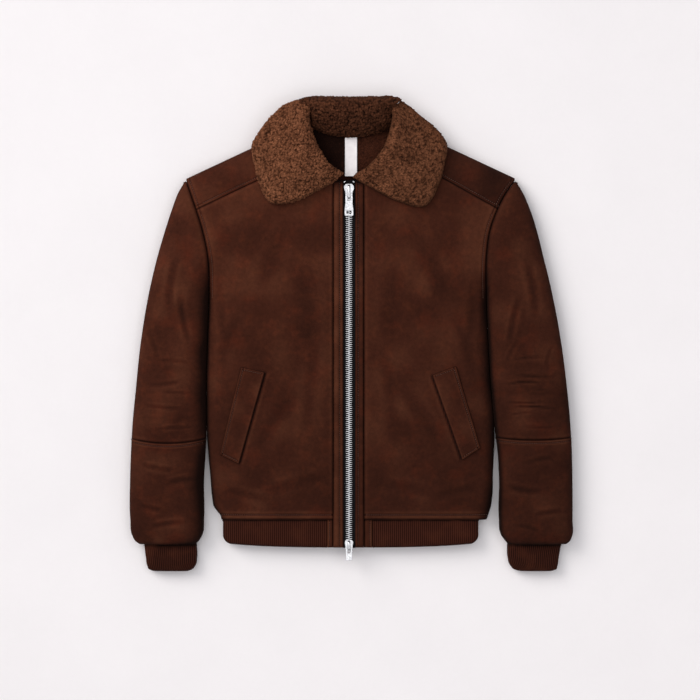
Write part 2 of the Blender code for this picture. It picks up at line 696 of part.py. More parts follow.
def cuffs(collection):
    """Rib-knit cuffs, each a front and a back wall."""
    for side in ("left", "right"):
        inner = sleeve_edge(CUFF_ROWS, side, "inner")
        outer = sleeve_edge(CUFF_ROWS, side, "outer")
        width = float(abs(outer(CUFF_TOP) - inner(CUFF_TOP)))
        ribs = int(width / RIB_PITCH)
        rows = np.array([-381.6, -379.6, -375.0, -366.0, CUFF_TOP])
        for layer in ("front", "back"):
            columns = np.linspace(0.0, 1.0, 2 * ribs + 1)
            if layer == "back":
                columns = np.array([0.0, 0.05, 0.15, 0.5, 0.85, 0.95, 1.0])
            u, y = np.meshgrid(columns, rows)
            x = inner(y) * (1 - u) + outer(y) * u
            nearest = np.minimum(np.abs(x - inner(y)), np.abs(x - outer(y)))
            end = y - rows[0]
            if layer == "front":
                wave = np.where(np.arange(2 * ribs + 1) % 2 == 1, 0.0, -RIB_DEPTH)
                low = np.full_like(x, CUFF_PLANE + SEAM)
                high = low + crown(CUFF_WALL, (nearest, 18.0, 0.75), (end, 6.0, 0.45)) + wave
            else:
                under = np.minimum(nearest, end)
                low = 0.6 * UNDER_LIFT * (1.0 - rise(under, 0.8 * UNDER_ROUND))
                high = np.full_like(x, CUFF_PLANE)
            wall("cuff_" + layer + "_" + side, x, y, low, high, "rib_knit", collection)


# Collar

def leaves(collection):
    """Collar leaves: wool outside, rolled at the neck edge, with the stand going down inside the neck."""
    for side in ("left", "right"):
        table = np.array(LEAVES[side])
        count = len(table)
        fine = np.linspace(0.0, count - 1.0, 13)
        numbered = [(k,) + tuple(row) for k, row in enumerate(table)]
        inner_x, inner_y, outer_x, outer_y, roll = [follow(numbered, 0, k, fine) for k in range(1, 6)]
        width = np.hypot(outer_x - inner_x, outer_y - inner_y)
        leg = LEG / width
        far = np.array([0.26, 0.42, 0.58, 0.74, 0.88, 0.96, 1.0])
        columns = [0.0, 0.45 * leg, leg, leg + 0.6 / width]
        columns += [leg + 0.6 / width + (1.0 - leg - 0.6 / width) * place for place in (far - 0.16) / 0.84]
        u = np.stack([np.broadcast_to(column, fine.shape) for column in columns], axis=1)
        x = inner_x[:, None] * (1 - u) + outer_x[:, None] * u
        y = inner_y[:, None] * (1 - u) + outer_y[:, None] * u
        from_inner = u * width[:, None]
        from_outer = (1 - u) * width[:, None]
        body = COLLAR_WALL + (roll[:, None] - COLLAR_WALL) * (1.0 - ramp(u, 0.1, 0.85))
        tip = (count - 1.0 - fine[:, None]) * 14.0
        thick = crown(body, (from_inner, 16.0, 0.6), (from_outer, 16.0, 0.7), (tip + 1.0, 10.0, 0.35))
        low = np.full_like(x, COLLAR_PLANE)
        legged = (fine[:, None] <= LEG_ROWS - 1) & (np.arange(u.shape[1])[None, :] <= 2)
        low = np.where(legged, BODY_PLANE + 2 * SEAM, low)
        wall("collar_leaf_" + side, x, y, low, COLLAR_PLANE + thick, "curly_wool", collection)


def collar_back(collection):
    """Back of the collar: the stand whose wool side shows, and the fall folded behind and under it."""
    left = lambda y: follow(STAND_ROWS, 0, 1, y)
    right = lambda y: follow(STAND_ROWS, 0, 2, y)
    top = lambda x: STAND_TOP_Y - STAND_TOP_DIP * np.cos(x / 60.0) - 5.0 * ramp(np.abs(x), 66.0, 88.0)
    inset = (0.0, 3.0, 8.0)
    fixed = (-36.0, -18.0, 0.0, 18.0, 36.0)
    rows = np.array([0.0, 0.05, 0.2, 0.4, 0.6, 0.76, 0.88, 0.96, 1.0])
    x, y = between(left, right, lambda x: neck_seam(x) + 2 * SEAM, top, inset, fixed, rows)
    v = (y - neck_seam(x)) / (top(x) - neck_seam(x))
    slope = STAND_LOW_Z + (STAND_ROLL_Z - STAND_LOW_Z) * np.sin(np.clip(v / 0.8, 0, 1) * math.pi / 2)
    low = np.full_like(x, BODY_PLANE + SEAM)
    side_distance = np.minimum(x - left(y), right(y) - x)
    dip = crown(1.0, (side_distance, 14.0, 0.25 * (1.0 - ramp(y, 352.0, 366.0))))
    high = low + (slope - low) * crown(dip, (top(x) - y, 17.0, 0.85), (y - neck_seam(x), 8.0, 0.3))
    wall("collar_stand_back", x, y, low, high, "curly_wool", collection)

    edge_left = FALL_START["left"] + SEAM
    edge_right = FALL_START["right"] - SEAM
    fall_low = lambda x: np.minimum(neck_seam(x), shoulder(x)) + SEAM
    fall_top = lambda x: top(x) - 1.2
    x, y = between(lambda y: np.full_like(y, edge_left), lambda y: np.full_like(y, edge_right),
                   fall_low, fall_top, (0.0,), NECK_COLUMNS[1:-1], (0.0, 0.2, 0.7, 0.86, 0.95, 1.0))
    low = UNDER_LIFT * (1.0 - rise(fall_top(x) - y, UNDER_ROUND))
    wall("collar_fall_back", x, y, low, np.full_like(x, BODY_PLANE), "curly_wool", collection)

    for side in ("left", "right"):
        start = FALL_START[side]
        end = FALL_OUTLINE[side][-1][0]
        outline = lambda x, side=side: polyline(FALL_OUTLINE[side], 0, 1, x)
        x, y = spread(lambda y, start=start: np.full_like(y, start), lambda y, end=end: np.full_like(y, end),
                      lambda x: shoulder(x) + 2 * SEAM, outline,
                      np.array([0.0, 0.2, 0.4, 0.6, 0.75, 0.9, 1.0]), np.array([0.0, 0.3, 0.6, 0.8, 0.93, 1.0]))
        rim = outline(x) - y
        low = UNDER_LIFT * (1.0 - rise(np.minimum(rim, np.abs(x - end)), UNDER_ROUND))
        high = COLLAR_PLANE - SEAM - 5.0 * (1.0 - rise(rim, 10.0))
        wall("collar_fall_" + side, x, y, low, high, "curly_wool", collection)


def neck(collection):
    """Back-neck facing, which shows inside the neck, and the bare label sewn in at the neck seam."""
    left = lambda y: follow(FACING_ROWS, 0, 1, y)
    right = lambda y: follow(FACING_ROWS, 0, 2, y)
    x, y = spread(left, right, lambda x: np.full_like(x, FACING_ROWS[0][0]), lambda x: neck_seam(x) - SEAM,
                  np.linspace(0.0, 1.0, 9), np.linspace(0.0, 1.0, 7))
    low = np.full_like(x, BODY_PLANE + SEAM)
    wall("neck_facing", x, y, low, low + FACING_WALL, "facing", collection)

    x, y = np.meshgrid(np.linspace(-LABEL_HALF, LABEL_HALF, 4), np.linspace(LABEL_LOW_Y, NECK_SEAM_Y - SEAM, 6))
    low = np.full_like(x, BODY_PLANE + 2 * SEAM + FACING_WALL)
    wall("neck_label", x, y, low, low + LABEL_WALL, "label", collection)


# Zip

def zip_tapes(collection):
    """Zip tapes on the plackets' low steps, the chain of teeth over them, and the top stops."""
    ends = np.linspace(HEM_LOW_Y + 0.6, ZIP_TOP_Y - 0.5, 4)
    for side, outer, inner in (("left", TAPE_LEFT, ZIP_X - SEAM / 2), ("right", TAPE_RIGHT, ZIP_X + SEAM / 2)):
        x, y = np.meshgrid(np.array([outer, inner]), ends)
        low = np.full_like(x, TAPE_TOP_Z - TAPE_WALL)
        wall("zip_tape_" + side, x, y, low, low + TAPE_WALL, "zip_tape", collection)

    across = ZIP_X + CHAIN_HALF * np.array([-1.0, -0.75, -0.25, 0.25, 0.75, 1.0])
    raised = np.array([0.6, 0.85, 1.0, 1.0, 0.85, 0.6]) * CHAIN_WALL
    along = np.linspace(SLIDERS["bottom"]["high"] + SEAM, SLIDERS["top"]["low"] - SEAM, 4)
    x, y = np.meshgrid(across, along)
    thick, _ = np.meshgrid(raised, along)
    low = np.full_like(x, TAPE_TOP_Z + SEAM)
    wall("zip_chain", x, y, low, low + thick, "zip_metal", collection)

    for side, x, turn in (("left", -10.2, 28.0), ("right", 4.0, -28.0)):
        bpy.ops.mesh.primitive_cube_add(size=1.0)
        stop = bpy.context.object
        stop.name = "zip_stop_" + side
        stop.scale = (3.6 * MM, 2.2 * MM, 2.0 * MM)
        stop.rotation_euler = (0.0, 0.0, math.radians(turn))
        stop.location = (x * MM, 242.6 * MM, (TAPE_TOP_Z + SEAM + 1.0) * MM)
        bpy.ops.object.transform_apply(location=False, rotation=False, scale=True)
        stop.data.materials.append(material("zip_metal"))
        bevel = stop.modifiers.new("rounded", "BEVEL")
        bevel.width = 0.5 * MM
        bevel.segments = 1
        for old in list(stop.users_collection):
            old.objects.unlink(stop)
        collection.objects.link(stop)


def slider(which, collection):
    """Slider: a body round the teeth, with a crown on top whose hole carries the pull tab."""
    size = SLIDERS[which]
    high, low = size["high"], size["low"]
    span = high - low
    half = ((0.0, 0.62), (0.05, 0.9), (0.16, 1.0), (0.34, 0.98), (0.5, None), (0.94, None), (1.0, 0.85))
    widths = []
    for place, share in half:
        if share is None:
            width = size["waist"] if place < 0.9 else size["mouth"]
        else:
            width = share * (size["wide"] if place < 0.9 else size["mouth"])
        widths.append((place, width))
    outline = [(ZIP_X - width, high - span * place) for place, width in widths]
    outline += [(ZIP_X + width, high - span * place) for place, width in reversed(widths)]
    mesh = outline_mesh("zip_slider_" + which, outline, (), SLIDER_LOW_Z, SLIDER_LOW_Z + SLIDER_WALL, "Z")
    body = add("zip_slider_" + which, mesh, "zip_metal", collection)

    axis = size["axis"]
    top_z = SLIDER_LOW_Z + SLIDER_WALL
    sunk_z = top_z - 1.0
    leg_y = axis - CROWN_HOLE_HALF - CROWN_LEG
    crown_outline = [
        (high - 1.6, sunk_z), (high - 2.2, top_z + 1.0), (high - 4.6, CROWN_TOP_Z - 0.4),
        (high - 6.6, CROWN_TOP_Z), (leg_y + 1.6, CROWN_TOP_Z), (leg_y + 0.4, CROWN_TOP_Z - 0.7),
        (leg_y, CROWN_TOP_Z - 1.8), (leg_y, sunk_z),
    ]
    hole = [
        (axis - CROWN_HOLE_HALF, top_z - 0.1), (axis + CROWN_HOLE_HALF, top_z - 0.1),
        (axis + CROWN_HOLE_HALF, CROWN_HOLE_TOP_Z - 0.5), (axis + CROWN_HOLE_HALF - 0.5, CROWN_HOLE_TOP_Z),
        (axis - CROWN_HOLE_HALF + 0.5, CROWN_HOLE_TOP_Z), (axis - CROWN_HOLE_HALF, CROWN_HOLE_TOP_Z - 0.5),
    ]
    mesh = outline_mesh("crown_" + which, crown_outline, (hole,), ZIP_X - CROWN_HALF, ZIP_X + CROWN_HALF, "X")
    cutters = bpy.data.collections["cutters"]
    tool = add("crown_" + which, mesh, "zip_metal", cutters)
    tool.hide_render = True
    tool.display_type = "WIRE"
    join = body.modifiers.new("crown", "BOOLEAN")
    join.operation = "UNION"
    join.object = tool


def pull(which, collection):
    """Pull tab: a plate whose eye passes through the crown, hinged there."""
    size = PULLS[which]
    axis = SLIDERS[which]["axis"]
    bar = PULL_WALL / 2
    start = axis + bar
    end = size["end"]
    neck_y = axis - SLOT_LENGTH - 3.0
    foot_y = end + 9.0 if size["hole"] else end + 4.0
    side = [
        (size["eye"] - 1.6, start), (size["eye"], start - 1.6), (size["eye"], axis - SLOT_LENGTH),
        (size["neck"], neck_y), (size["foot"], foot_y), (size["foot"], end + 1.0), (size["foot"] - 1.0, end),
    ]
    outline = [(-x, y - axis) for x, y in side] + [(x, y - axis) for x, y in reversed(side)]
    holes = [[(-SLOT_HALF, -bar), (SLOT_HALF, -bar), (SLOT_HALF, -SLOT_LENGTH), (-SLOT_HALF, -SLOT_LENGTH)]]
    if size["hole"]:
        half = size["hole_half"]
        low, high = size["hole"][0] - axis, size["hole"][1] - axis
        holes.append([(-half, low + 1.0), (-half + 1.0, low), (half - 1.0, low), (half, low + 1.0),
                      (half, high - 1.0), (half - 1.0, high), (-half + 1.0, high), (-half, high - 1.0)])
    name = "zip_pull_" + which
    mesh = outline_mesh(name, outline, holes, -bar, bar, "Z")
    plate = add(name, mesh, "zip_metal", collection)
    plate.location = (ZIP_X * MM, axis * MM, HINGE_Z * MM)


def main():
    """Clear the scene and make every piece."""
    for old in list(bpy.data.objects):
        bpy.data.objects.remove(old)
    collection = bpy.data.collections.new("shearling_jacket")
    bpy.context.scene.collection.children.link(collection)
    cutters = bpy.data.collections.new("cutters")
    bpy.context.scene.collection.children.link(cutters)

    back(collection)
    fronts(collection)
    yokes(collection)
    plackets(collection)
    welts(collection)
    hems(collection)
    sleeves(collection)
    cuffs(collection)
    leaves(collection)
    collar_back(collection)
    neck(collection)
    zip_tapes(collection)
    for which in ("top", "bottom"):
        slider(which, collection)
        pull(which, collection)
    for piece in list(collection.objects) + list(cutters.objects):
        piece.location.x -= MIDDLE_X * MM
        piece.location.y -= MIDDLE_Y * MM


main()
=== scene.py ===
"""Looks of a shearling jacket laid on its back: suede panels, curly wool collar, rib knit and a two-way zip.

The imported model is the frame. Each cloth node is replaced by a thin shell on the same form, worked out with
numpy from the same tables of sizes, and the zip by its teeth, sliders and pull tabs. Tables are millimetres.
"""
import math

import bpy
import numpy as np
from bpy.props import FloatProperty, FloatVectorProperty, PointerProperty
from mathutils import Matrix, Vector


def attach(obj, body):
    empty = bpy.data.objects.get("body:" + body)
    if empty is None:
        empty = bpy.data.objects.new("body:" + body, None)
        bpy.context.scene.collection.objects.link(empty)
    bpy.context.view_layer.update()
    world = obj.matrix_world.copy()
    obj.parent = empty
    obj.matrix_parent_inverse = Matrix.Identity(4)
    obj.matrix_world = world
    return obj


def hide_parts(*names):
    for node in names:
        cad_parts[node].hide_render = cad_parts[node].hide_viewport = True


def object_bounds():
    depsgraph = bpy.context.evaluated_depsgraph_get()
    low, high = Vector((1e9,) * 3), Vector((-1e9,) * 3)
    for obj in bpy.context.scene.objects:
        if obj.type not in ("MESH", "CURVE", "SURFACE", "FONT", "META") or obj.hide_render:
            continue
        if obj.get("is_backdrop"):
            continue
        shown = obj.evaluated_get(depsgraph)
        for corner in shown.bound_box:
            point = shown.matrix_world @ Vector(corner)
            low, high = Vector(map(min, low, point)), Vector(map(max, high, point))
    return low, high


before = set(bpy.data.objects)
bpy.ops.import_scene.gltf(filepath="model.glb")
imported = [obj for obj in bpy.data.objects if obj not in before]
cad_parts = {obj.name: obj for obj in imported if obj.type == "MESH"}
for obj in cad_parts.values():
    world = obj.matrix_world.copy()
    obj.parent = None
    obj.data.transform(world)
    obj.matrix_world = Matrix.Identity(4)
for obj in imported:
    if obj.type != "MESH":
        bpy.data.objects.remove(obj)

CAD_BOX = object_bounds()

bl_info = {
    "name": "Shearling jacket",
    "version": (1, 0, 0),
    "blender": (4, 5, 0),
    "location": "3D View > Sidebar > Jacket",
    "description": "Builds the finished pieces of a shearling jacket around its packed model",
    "category": "Object",
}

MM = 0.001

# Middle of the jacket's box in the tables' own numbers
MIDDLE_X = 0.7
MIDDLE_Y = -1.4

# Layers, bottom to top
SEAM = 0.35
BODY_PLANE = 17.0
SLEEVE_PLANE = 20.0
CUFF_PLANE = 12.0
BODY_WALL = 23.0
SLEEVE_WALL = 27.0
HEM_WALL = 14.0
CUFF_WALL = 13.0
COLLAR_PLANE = 41.1
COLLAR_WALL = 14.0
FACING_WALL = 2.6
LABEL_WALL = 0.8
WELT_WALL = 2.6
WELT_WIDE = 34.0
WELT_LONG = 150.0
UNDER_ROUND = 14.0
UNDER_LIFT = 8.0
SIDE_GROOVE = 1.1           # how far the side seam lies in from the edge

# Shoulder line and back neck seam
SHOULDER_X = 257.0
SHOULDER_Y = 252.0
SHOULDER_SLOPE = 0.468
NECK_SEAM_Y = 315.4
NECK_SEAM_X = 76.3
NECK_SEAM_RISE = 21.2
NECK_COLUMNS = (-NECK_SEAM_X, -50.0, -25.0, 0.0, 25.0, 50.0, NECK_SEAM_X)

# Zip
ZIP_X = -3.2
CHAIN_HALF = 5.6
TAPE_LEFT = -12.0
TAPE_RIGHT = 6.4
TAPE_TOP_Z = 33.6
TAPE_WALL = 0.9
ZIP_TOP_Y = 246.0

# Placket strips, hem tabs, hem
PLACKET = {"left": -28.6, "right": 20.8}
TAB = {"left": -38.4, "right": 34.4}
HEM_SIDE = {"left": -205.5, "right": 204.5}
HEM_TOP_Y = -298.4
HEM_LOW_Y = -343.2
HEM_SAG = 7.0
HEM_CORNER = 14.0
RIB_DEPTH = 1.0
FOREARM_END = -337.6

# Stitched lines, by their distance from the seam or edge that they follow
SIDE_LINE = 5.7
YOKE_LINE = 5.4
HEM_LINE = 8.4
ELBOW_LINE = 5.0
TAB_LINE = 3.9
WELT_LINE = 3.9
PLACKET_LINE = 0.66         # share of the strip's width
PLACKET_GROOVE = 18.6       # height of the strip there
CUFF_TOP = -338.0
CUFF_END = -381.6

# Seam across the forearm: height at the sleeve's edges and dip in the middle
ELBOW = {"left": {"edge": -168.0, "dip": 7.0}, "right": {"edge": -166.0, "dip": 4.0}}

SIDES = ("left", "right")
SIGN = {"left": -1.0, "right": 1.0}

# Width of the shade painted into the hide where it rounds down into the crease against its neighbour, wider
# on faces turned to the right, away from the light
PAINTED_SHADE_SIDE = {"left": 4.0, "right": 12.0}
PAINTED_SHADE_INNER = {"left": 15.0, "right": 4.5}
PAINTED_SHADE_OUTER = {"left": 1.5, "right": 8.0}

# Body: y, left edge, right edge
BODY_ROWS = (
    (-298.4, -208.0, 217.6), (-292.0, -209.5, 220.0), (-285.6, -214.4, 222.0), (-277.0, -220.4, 224.6),
    (-266.0, -222.4, 226.4), (-221.6, -226.4, 228.0), (-186.4, -229.6, 229.8), (-146.4, -231.6, 229.6),
    (-93.6, -232.0, 224.8), (-16.8, -230.4, 220.0), (69.6, -227.6, 216.8), (122.4, -228.8, 216.4),
    (168.8, -238.4, 223.2), (199.2, -248.0, 234.4), (228.0, -257.6, 249.6), (245.6, -264.0, 262.4),
)
BODY_COLUMN = {"left": 1, "right": 2}

# Sleeves and cuffs: y, left outer, left inner, right inner, right outer
SLEEVE_ROWS = (
    (-337.6, -339.2, -249.0, 252.0, 345.6), (-334.0, -344.5, -245.4, 248.8, 350.0),
    (-324.0, -350.8, -239.0, 241.4, 355.0), (-298.4, -354.0, -236.4, 238.0, 355.4),
    (-234.4, -354.4, -236.4, 238.2, 355.2), (-186.4, -352.8, -233.6, 235.6, 354.2),
    (-146.4, -350.6, -232.3, 230.3, 352.0), (-93.6, -345.6, -232.7, 225.5, 347.2),
    (-16.8, -337.6, -231.1, 220.7, 337.6), (69.6, -323.2, -228.3, 217.5, 321.6),
    (122.4, -310.7, -229.5, 217.1, 308.8), (168.8, -297.1, -239.1, 223.9, 297.1),
    (199.2, -287.2, -248.7, 235.1, 287.2), (228.0, -276.0, -258.3, 250.3, 274.4),
    (242.4, -267.2, -263.6, 260.4, 265.6),
)
CUFF_ROWS = (
    (-381.6, -318.0, -262.0, 272.0, 322.0), (-379.6, -323.5, -256.5, 264.0, 328.5),
    (-374.0, -327.2, -251.0, 257.2, 331.6), (-360.0, -329.8, -247.8, 252.2, 334.0),
    (-338.0, -332.5, -248.4, 251.4, 338.0),
)
SLEEVE_COLUMN = {"left": {"outer": 1, "inner": 2}, "right": {"inner": 3, "outer": 4}}

# Folds pressed across the sleeves, as in the solids: side, y, depth, half width, slope
FOLD_COLUMNS = ("side", "y", "depth", "half", "slope")
FOLDS = (
    ("right", -55.0, 1.8, 7.0, 0.05),
    ("right", -98.0, 2.2, 7.0, -0.04),
    ("right", -138.0, 1.8, 7.0, 0.02),
    ("left", -62.0, 1.4, 8.0, 0.06),
    ("left", -140.0, 1.6, 8.0, -0.05),
)

# Finer creases, listed one by one: middle, length, half width, depth (a ridge is negative), turn in degrees,
# bow
CREASE_SHARP = 0.62
CREASE_COLUMNS = ("x", "y", "length", "half", "depth", "turn", "bow")
CREASES = {
    "sleeve_right": (
        (284.0, -41.0, 58.0, 3.2, 0.8, 5.0, 3.0), (296.0, -66.0, 74.0, 3.6, 1.0, -3.0, -3.0),
        (276.0, -80.0, 66.0, 3.0, 1.4, 3.0, 2.5), (300.0, -91.0, 46.0, 2.6, 0.8, -6.0, 2.0),
        (280.0, -108.0, 70.0, 2.8, 1.1, 2.0, -3.0), (292.0, -119.0, 84.0, 3.0, 1.3, -3.0, 2.0),
        (270.0, -128.0, 40.0, 2.4, 0.9, 6.0, 1.0), (303.0, -148.0, 60.0, 3.0, 0.8, -2.0, -2.0),
        (318.0, -35.0, 44.0, 4.0, 0.6, 74.0, 3.0), (258.0, -30.0, 52.0, 4.0, 0.7, 62.0, 3.0),
        (262.0, 20.0, 90.0, 6.0, 1.0, 78.0, 4.0), (286.0, 70.0, 110.0, 8.0, 0.9, 99.0, -4.0),
        (300.0, -205.0, 58.0, 5.0, 0.9, 12.0, 4.0), (276.0, -246.0, 72.0, 6.0, 1.1, -8.0, -4.0),
        (316.0, -288.0, 56.0, 5.0, 1.0, 9.0, 3.0), (282.0, -312.0, 48.0, 4.0, 0.9, -14.0, 3.0),
    ),
    "sleeve_left": (
        (-284.0, -46.0, 62.0, 4.0, 0.7, -6.0, 3.0), (-300.0, -78.0, 70.0, 4.2, 0.8, 5.0, -3.0),
        (-276.0, -96.0, 56.0, 3.2, 0.7, -3.0, 2.0), (-296.0, -116.0, 74.0, 3.6, 0.9, -4.0, -2.0),
        (-282.0, -152.0, 80.0, 3.4, 1.0, 3.0, 2.0), (-318.0, -20.0, 60.0, 5.0, 0.7, -72.0, 4.0),
        (-264.0, 25.0, 96.0, 6.0, 1.0, -80.0, -4.0), (-284.0, 80.0, 104.0, 8.0, 0.9, 82.0, 4.0),
        (-306.0, -212.0, 64.0, 5.0, 0.9, -9.0, -3.0), (-272.0, -238.0, 60.0, 6.0, 1.0, 10.0, 4.0),
        (-318.0, -276.0, 52.0, 5.0, 1.0, -12.0, -3.0), (-292.0, -306.0, 66.0, 5.0, 1.0, 7.0, 3.0),
    ),
    "body_left": (
        (-120.0, 120.0, 150.0, 16.0, 1.1, 66.0, 6.0), (-76.0, 40.0, 180.0, 18.0, 1.0, 96.0, -8.0),
        (-205.0, 40.0, 130.0, 9.0, 1.0, 96.0, 4.0), (-190.0, -10.0, 110.0, 10.0, 1.0, 70.0, 6.0),
        (-120.0, -150.0, 130.0, 14.0, 1.2, 58.0, 8.0), (-86.0, -244.0, 120.0, 10.0, 1.1, 14.0, 5.0),
        (-166.0, -262.0, 90.0, 8.0, 1.2, -12.0, 4.0), (-60.0, -90.0, 160.0, 12.0, 0.9, 84.0, 6.0),
    ),
    "body_right": (
        (122.0, 110.0, 150.0, 16.0, 1.1, 112.0, -6.0), (70.0, 60.0, 170.0, 18.0, 0.9, 84.0, 8.0),
        (190.0, 30.0, 130.0, 9.0, 1.1, 84.0, -4.0), (178.0, -20.0, 110.0, 10.0, 1.0, 108.0, -6.0),
        (110.0, -140.0, 140.0, 14.0, 1.3, 124.0, -8.0), (86.0, -250.0, 120.0, 10.0, 1.1, -10.0, 5.0),
        (168.0, -256.0, 96.0, 8.0, 1.2, 14.0, 4.0), (58.0, -100.0, 150.0, 12.0, 0.9, 97.0, -6.0),
    ),
    "back": (
        (-90.0, 60.0, 190.0, 18.0, 1.0, 82.0, 8.0), (70.0, -60.0, 200.0, 18.0, 1.0, 95.0, -8.0),
    ),
}

# Neckline of the fronts, yoke seams, and neck edge of the yokes as y, x
NECKLINE = {
    "left": ((-28.6, 254.2), (-33.5, 257.2), (-45.1, 267.8), (-57.5, 287.0)),
    "right": ((20.8, 252.6), (30.0, 257.6), (40.6, 268.2), (61.0, 295.4)),
}
YOKE_SEAM = {
    "left": ((-57.5, 287.0), (-147.2, 245.6), (-204.8, 218.4), (-250.0, 197.0)),
    "right": ((61.0, 295.4), (163.2, 239.2), (228.8, 202.4), (240.0, 196.2)),
}
YOKE_NECK = {
    "left": ((287.0, -58.6), (301.2, -64.8), (320.0, -71.2), (338.3, -75.4)),
    "right": ((295.4, 62.4), (301.2, 63.6), (320.0, 69.6), (338.3, 74.0)),
}

# Pocket welts, corners as x, y
WELTS = {
    "left": {"top_out": (-176.0, -53.6), "top_in": (-137.6, -61.6),
             "low_in": (-179.2, -208.8), "low_out": (-210.0, -193.6)},
    "right": {"top_out": (168.0, -52.0), "top_in": (129.6, -66.4),
              "low_in": (177.6, -202.4), "low_out": (207.0, -183.2)},
}

# Collar leaves, back to tip: neck edge, outer edge, height of the roll
LEAVES = {
    "left": (
        (-67.2, 354.4, -88.0, 375.2, 25.0), (-65.6, 335.2, -118.4, 354.4, 27.0),
        (-60.8, 319.2, -142.4, 327.2, 27.0), (-54.4, 301.6, -157.6, 296.8, 25.0),
        (-46.4, 287.2, -152.0, 261.6, 23.0), (-36.8, 272.8, -142.4, 229.6, 20.0),
        (-25.6, 263.2, -124.8, 208.0, 17.0), (-18.5, 259.5, -81.6, 214.4, 14.0),
        (-12.6, 255.4, -25.6, 244.0, 10.0),
    ),
    "right": (
        (65.6, 354.4, 83.2, 373.6, 25.0), (64.0, 335.2, 107.2, 351.2, 27.0),
        (59.2, 317.6, 136.0, 327.2, 27.0), (52.8, 300.0, 153.6, 301.6, 25.0),
        (43.2, 285.6, 149.6, 269.6, 23.0), (32.0, 272.8, 140.8, 237.6, 20.0),
        (22.4, 264.0, 118.4, 203.2, 17.0), (9.6, 257.0, 75.2, 210.4, 14.0),
        (2.4, 249.2, 12.0, 243.2, 10.0),
    ),
}
LEG = 9.0
LEG_END = 6.0               # place along the leaf where the part inside the neck ends

# Back of the collar
STAND_ROWS = (
    (315.0, -58.0, 57.0), (328.0, -62.2, 61.2), (335.2, -64.4, 62.8),
    (354.4, -65.4, 63.8), (366.0, -76.8, 74.2), (374.0, -84.8, 81.4),
)
STAND_TOP_Y = 380.0
STAND_TOP_DIP = 1.4
STAND_LOW_Z = 31.0
STAND_ROLL_Z = 64.0
FALL_START = {"left": -75.4, "right": 74.0}
FALL_OUTLINE = {
    "left": ((-75.4, 361.0), (-87.0, 371.0), (-118.4, 351.5), (-142.4, 324.0), (-150.0, 312.0)),
    "right": ((74.0, 362.0), (83.6, 369.0), (107.2, 348.5), (136.0, 324.5), (147.0, 311.0)),
}

# Back-neck facing and label
FACING_ROWS = (
    (262.5, -23.6, 20.2), (272.8, -35.8, 31.0), (287.2, -45.4, 43.0),
    (301.0, -53.2, 52.2), (312.0, -57.4, 56.4), (328.0, -62.4, 61.4),
)
LABEL_HALF = 9.6
LABEL_LOW_Y = 252.6

# Zip teeth and stitches
TOOTH_SECTIONS = (          # place along the tooth, half width, height
    (0.0, 0.5, 1.1), (0.35, 0.6, 1.7), (2.3, 0.62, 2.35), (3.6, 0.62, 2.4),
    (4.6, 0.55, 2.2), (5.4, 0.72, 2.35), (6.3, 0.7, 2.2), (6.7, 0.4, 1.5),
)
STITCH_SECTIONS = (         # share of the length, of the thickness, and how far it drops
    (-0.5, 0.45, 0.62), (-0.4, 0.85, 0.22), (-0.2, 1.0, 0.03),
    (0.2, 1.0, 0.03), (0.4, 0.85, 0.22), (0.5, 0.45, 0.62),
)
STITCH_SHOWN = 0.74         # share of a stitch's pitch that its thread covers

# Sliders and pull tabs
SLIDER_LOW_Z = 33.95
SLIDER_WALL = 5.45
HINGE_Z = 40.8
CROWN_HALF = 2.1
CROWN_TOP_Z = 43.6
CROWN_HOLE_HALF = 2.8
CROWN_LEG = 2.2
PULL_WALL = 1.6
SLOT_HALF = 2.55
SLOT_LENGTH = 8.2
SLIDERS = {
    "top": {"high": 239.2, "low": 213.6, "axis": 219.9, "wide": 8.0, "waist": 5.6, "mouth": 5.8},
    "bottom": {"high": -329.5, "low": -348.2, "axis": -342.6, "wide": 6.8, "waist": 5.8, "mouth": 6.4},
}
PULLS = {
    "top": {"end": 188.0, "eye": 5.9, "neck": 5.5, "foot": 7.0, "hole_half": 3.9, "hole": (191.0, 196.2)},
    "bottom": {"end": -362.4, "eye": 5.2, "neck": 4.9, "foot": 5.0, "hole_half": 0.0, "hole": ()},
}


# Numbers along curves

# Stage, in metres
FLOOR_HALF = 1.6
WINDOW_PLACE = (-1.6, 1.2, 1.6)
WINDOW_FROM = (-1.2, 0.95)
SOFT_BOX = {"size": 1.4, "place": (-1.1, 0.9, 1.9)}
CEILING = {"size": 5.0, "place": (0.0, 0.0, 4.3)}
CAMERA_PLACE = (-0.0023, -0.025, 4.035)
CAMERA_LENS = 128.6
CAMERA_SENSOR = 36.0

# Least share of its box that a cut's area is given as
LEAST_CUT = 0.301


def follow(rows, key, value, at):
    """Smooth curve through a table's rows, read at any place: a cubic with the rows' own slopes."""
    table = np.array(sorted(rows, key=lambda row: row[key]), dtype=float)
    xs = table[:, key]
    ys = table[:, value]
    slopes = np.gradient(ys, xs)
    at = np.clip(at, xs[0], xs[-1])
    i = np.clip(np.searchsorted(xs, at) - 1, 0, len(xs) - 2)
    step = xs[i + 1] - xs[i]
    t = (at - xs[i]) / step
    near = (2 * t ** 3 - 3 * t ** 2 + 1) * ys[i] + (t ** 3 - 2 * t ** 2 + t) * step * slopes[i]
    far = (3 * t ** 2 - 2 * t ** 3) * ys[i + 1] + (t ** 3 - t ** 2) * step * slopes[i + 1]
    return near + far


def polyline(points, key, value, at):
    """Straight runs through a few points, read at any place."""
    table = np.array(sorted(points, key=lambda row: row[key]), dtype=float)
    return np.interp(at, table[:, key], table[:, value])


def rise(distance, reach):
    """Quarter round: 0 at an edge, 1 from reach inwards."""
    t = np.clip(distance / reach, 0.0, 1.0)
    return np.sqrt(1.0 - (1.0 - t) ** 2)


def ramp(value, low, high):
    """Smooth step from 0 at low to 1 at high."""
    t = np.clip((value - low) / (high - low), 0.0, 1.0)
    return t * t * (3.0 - 2.0 * t)


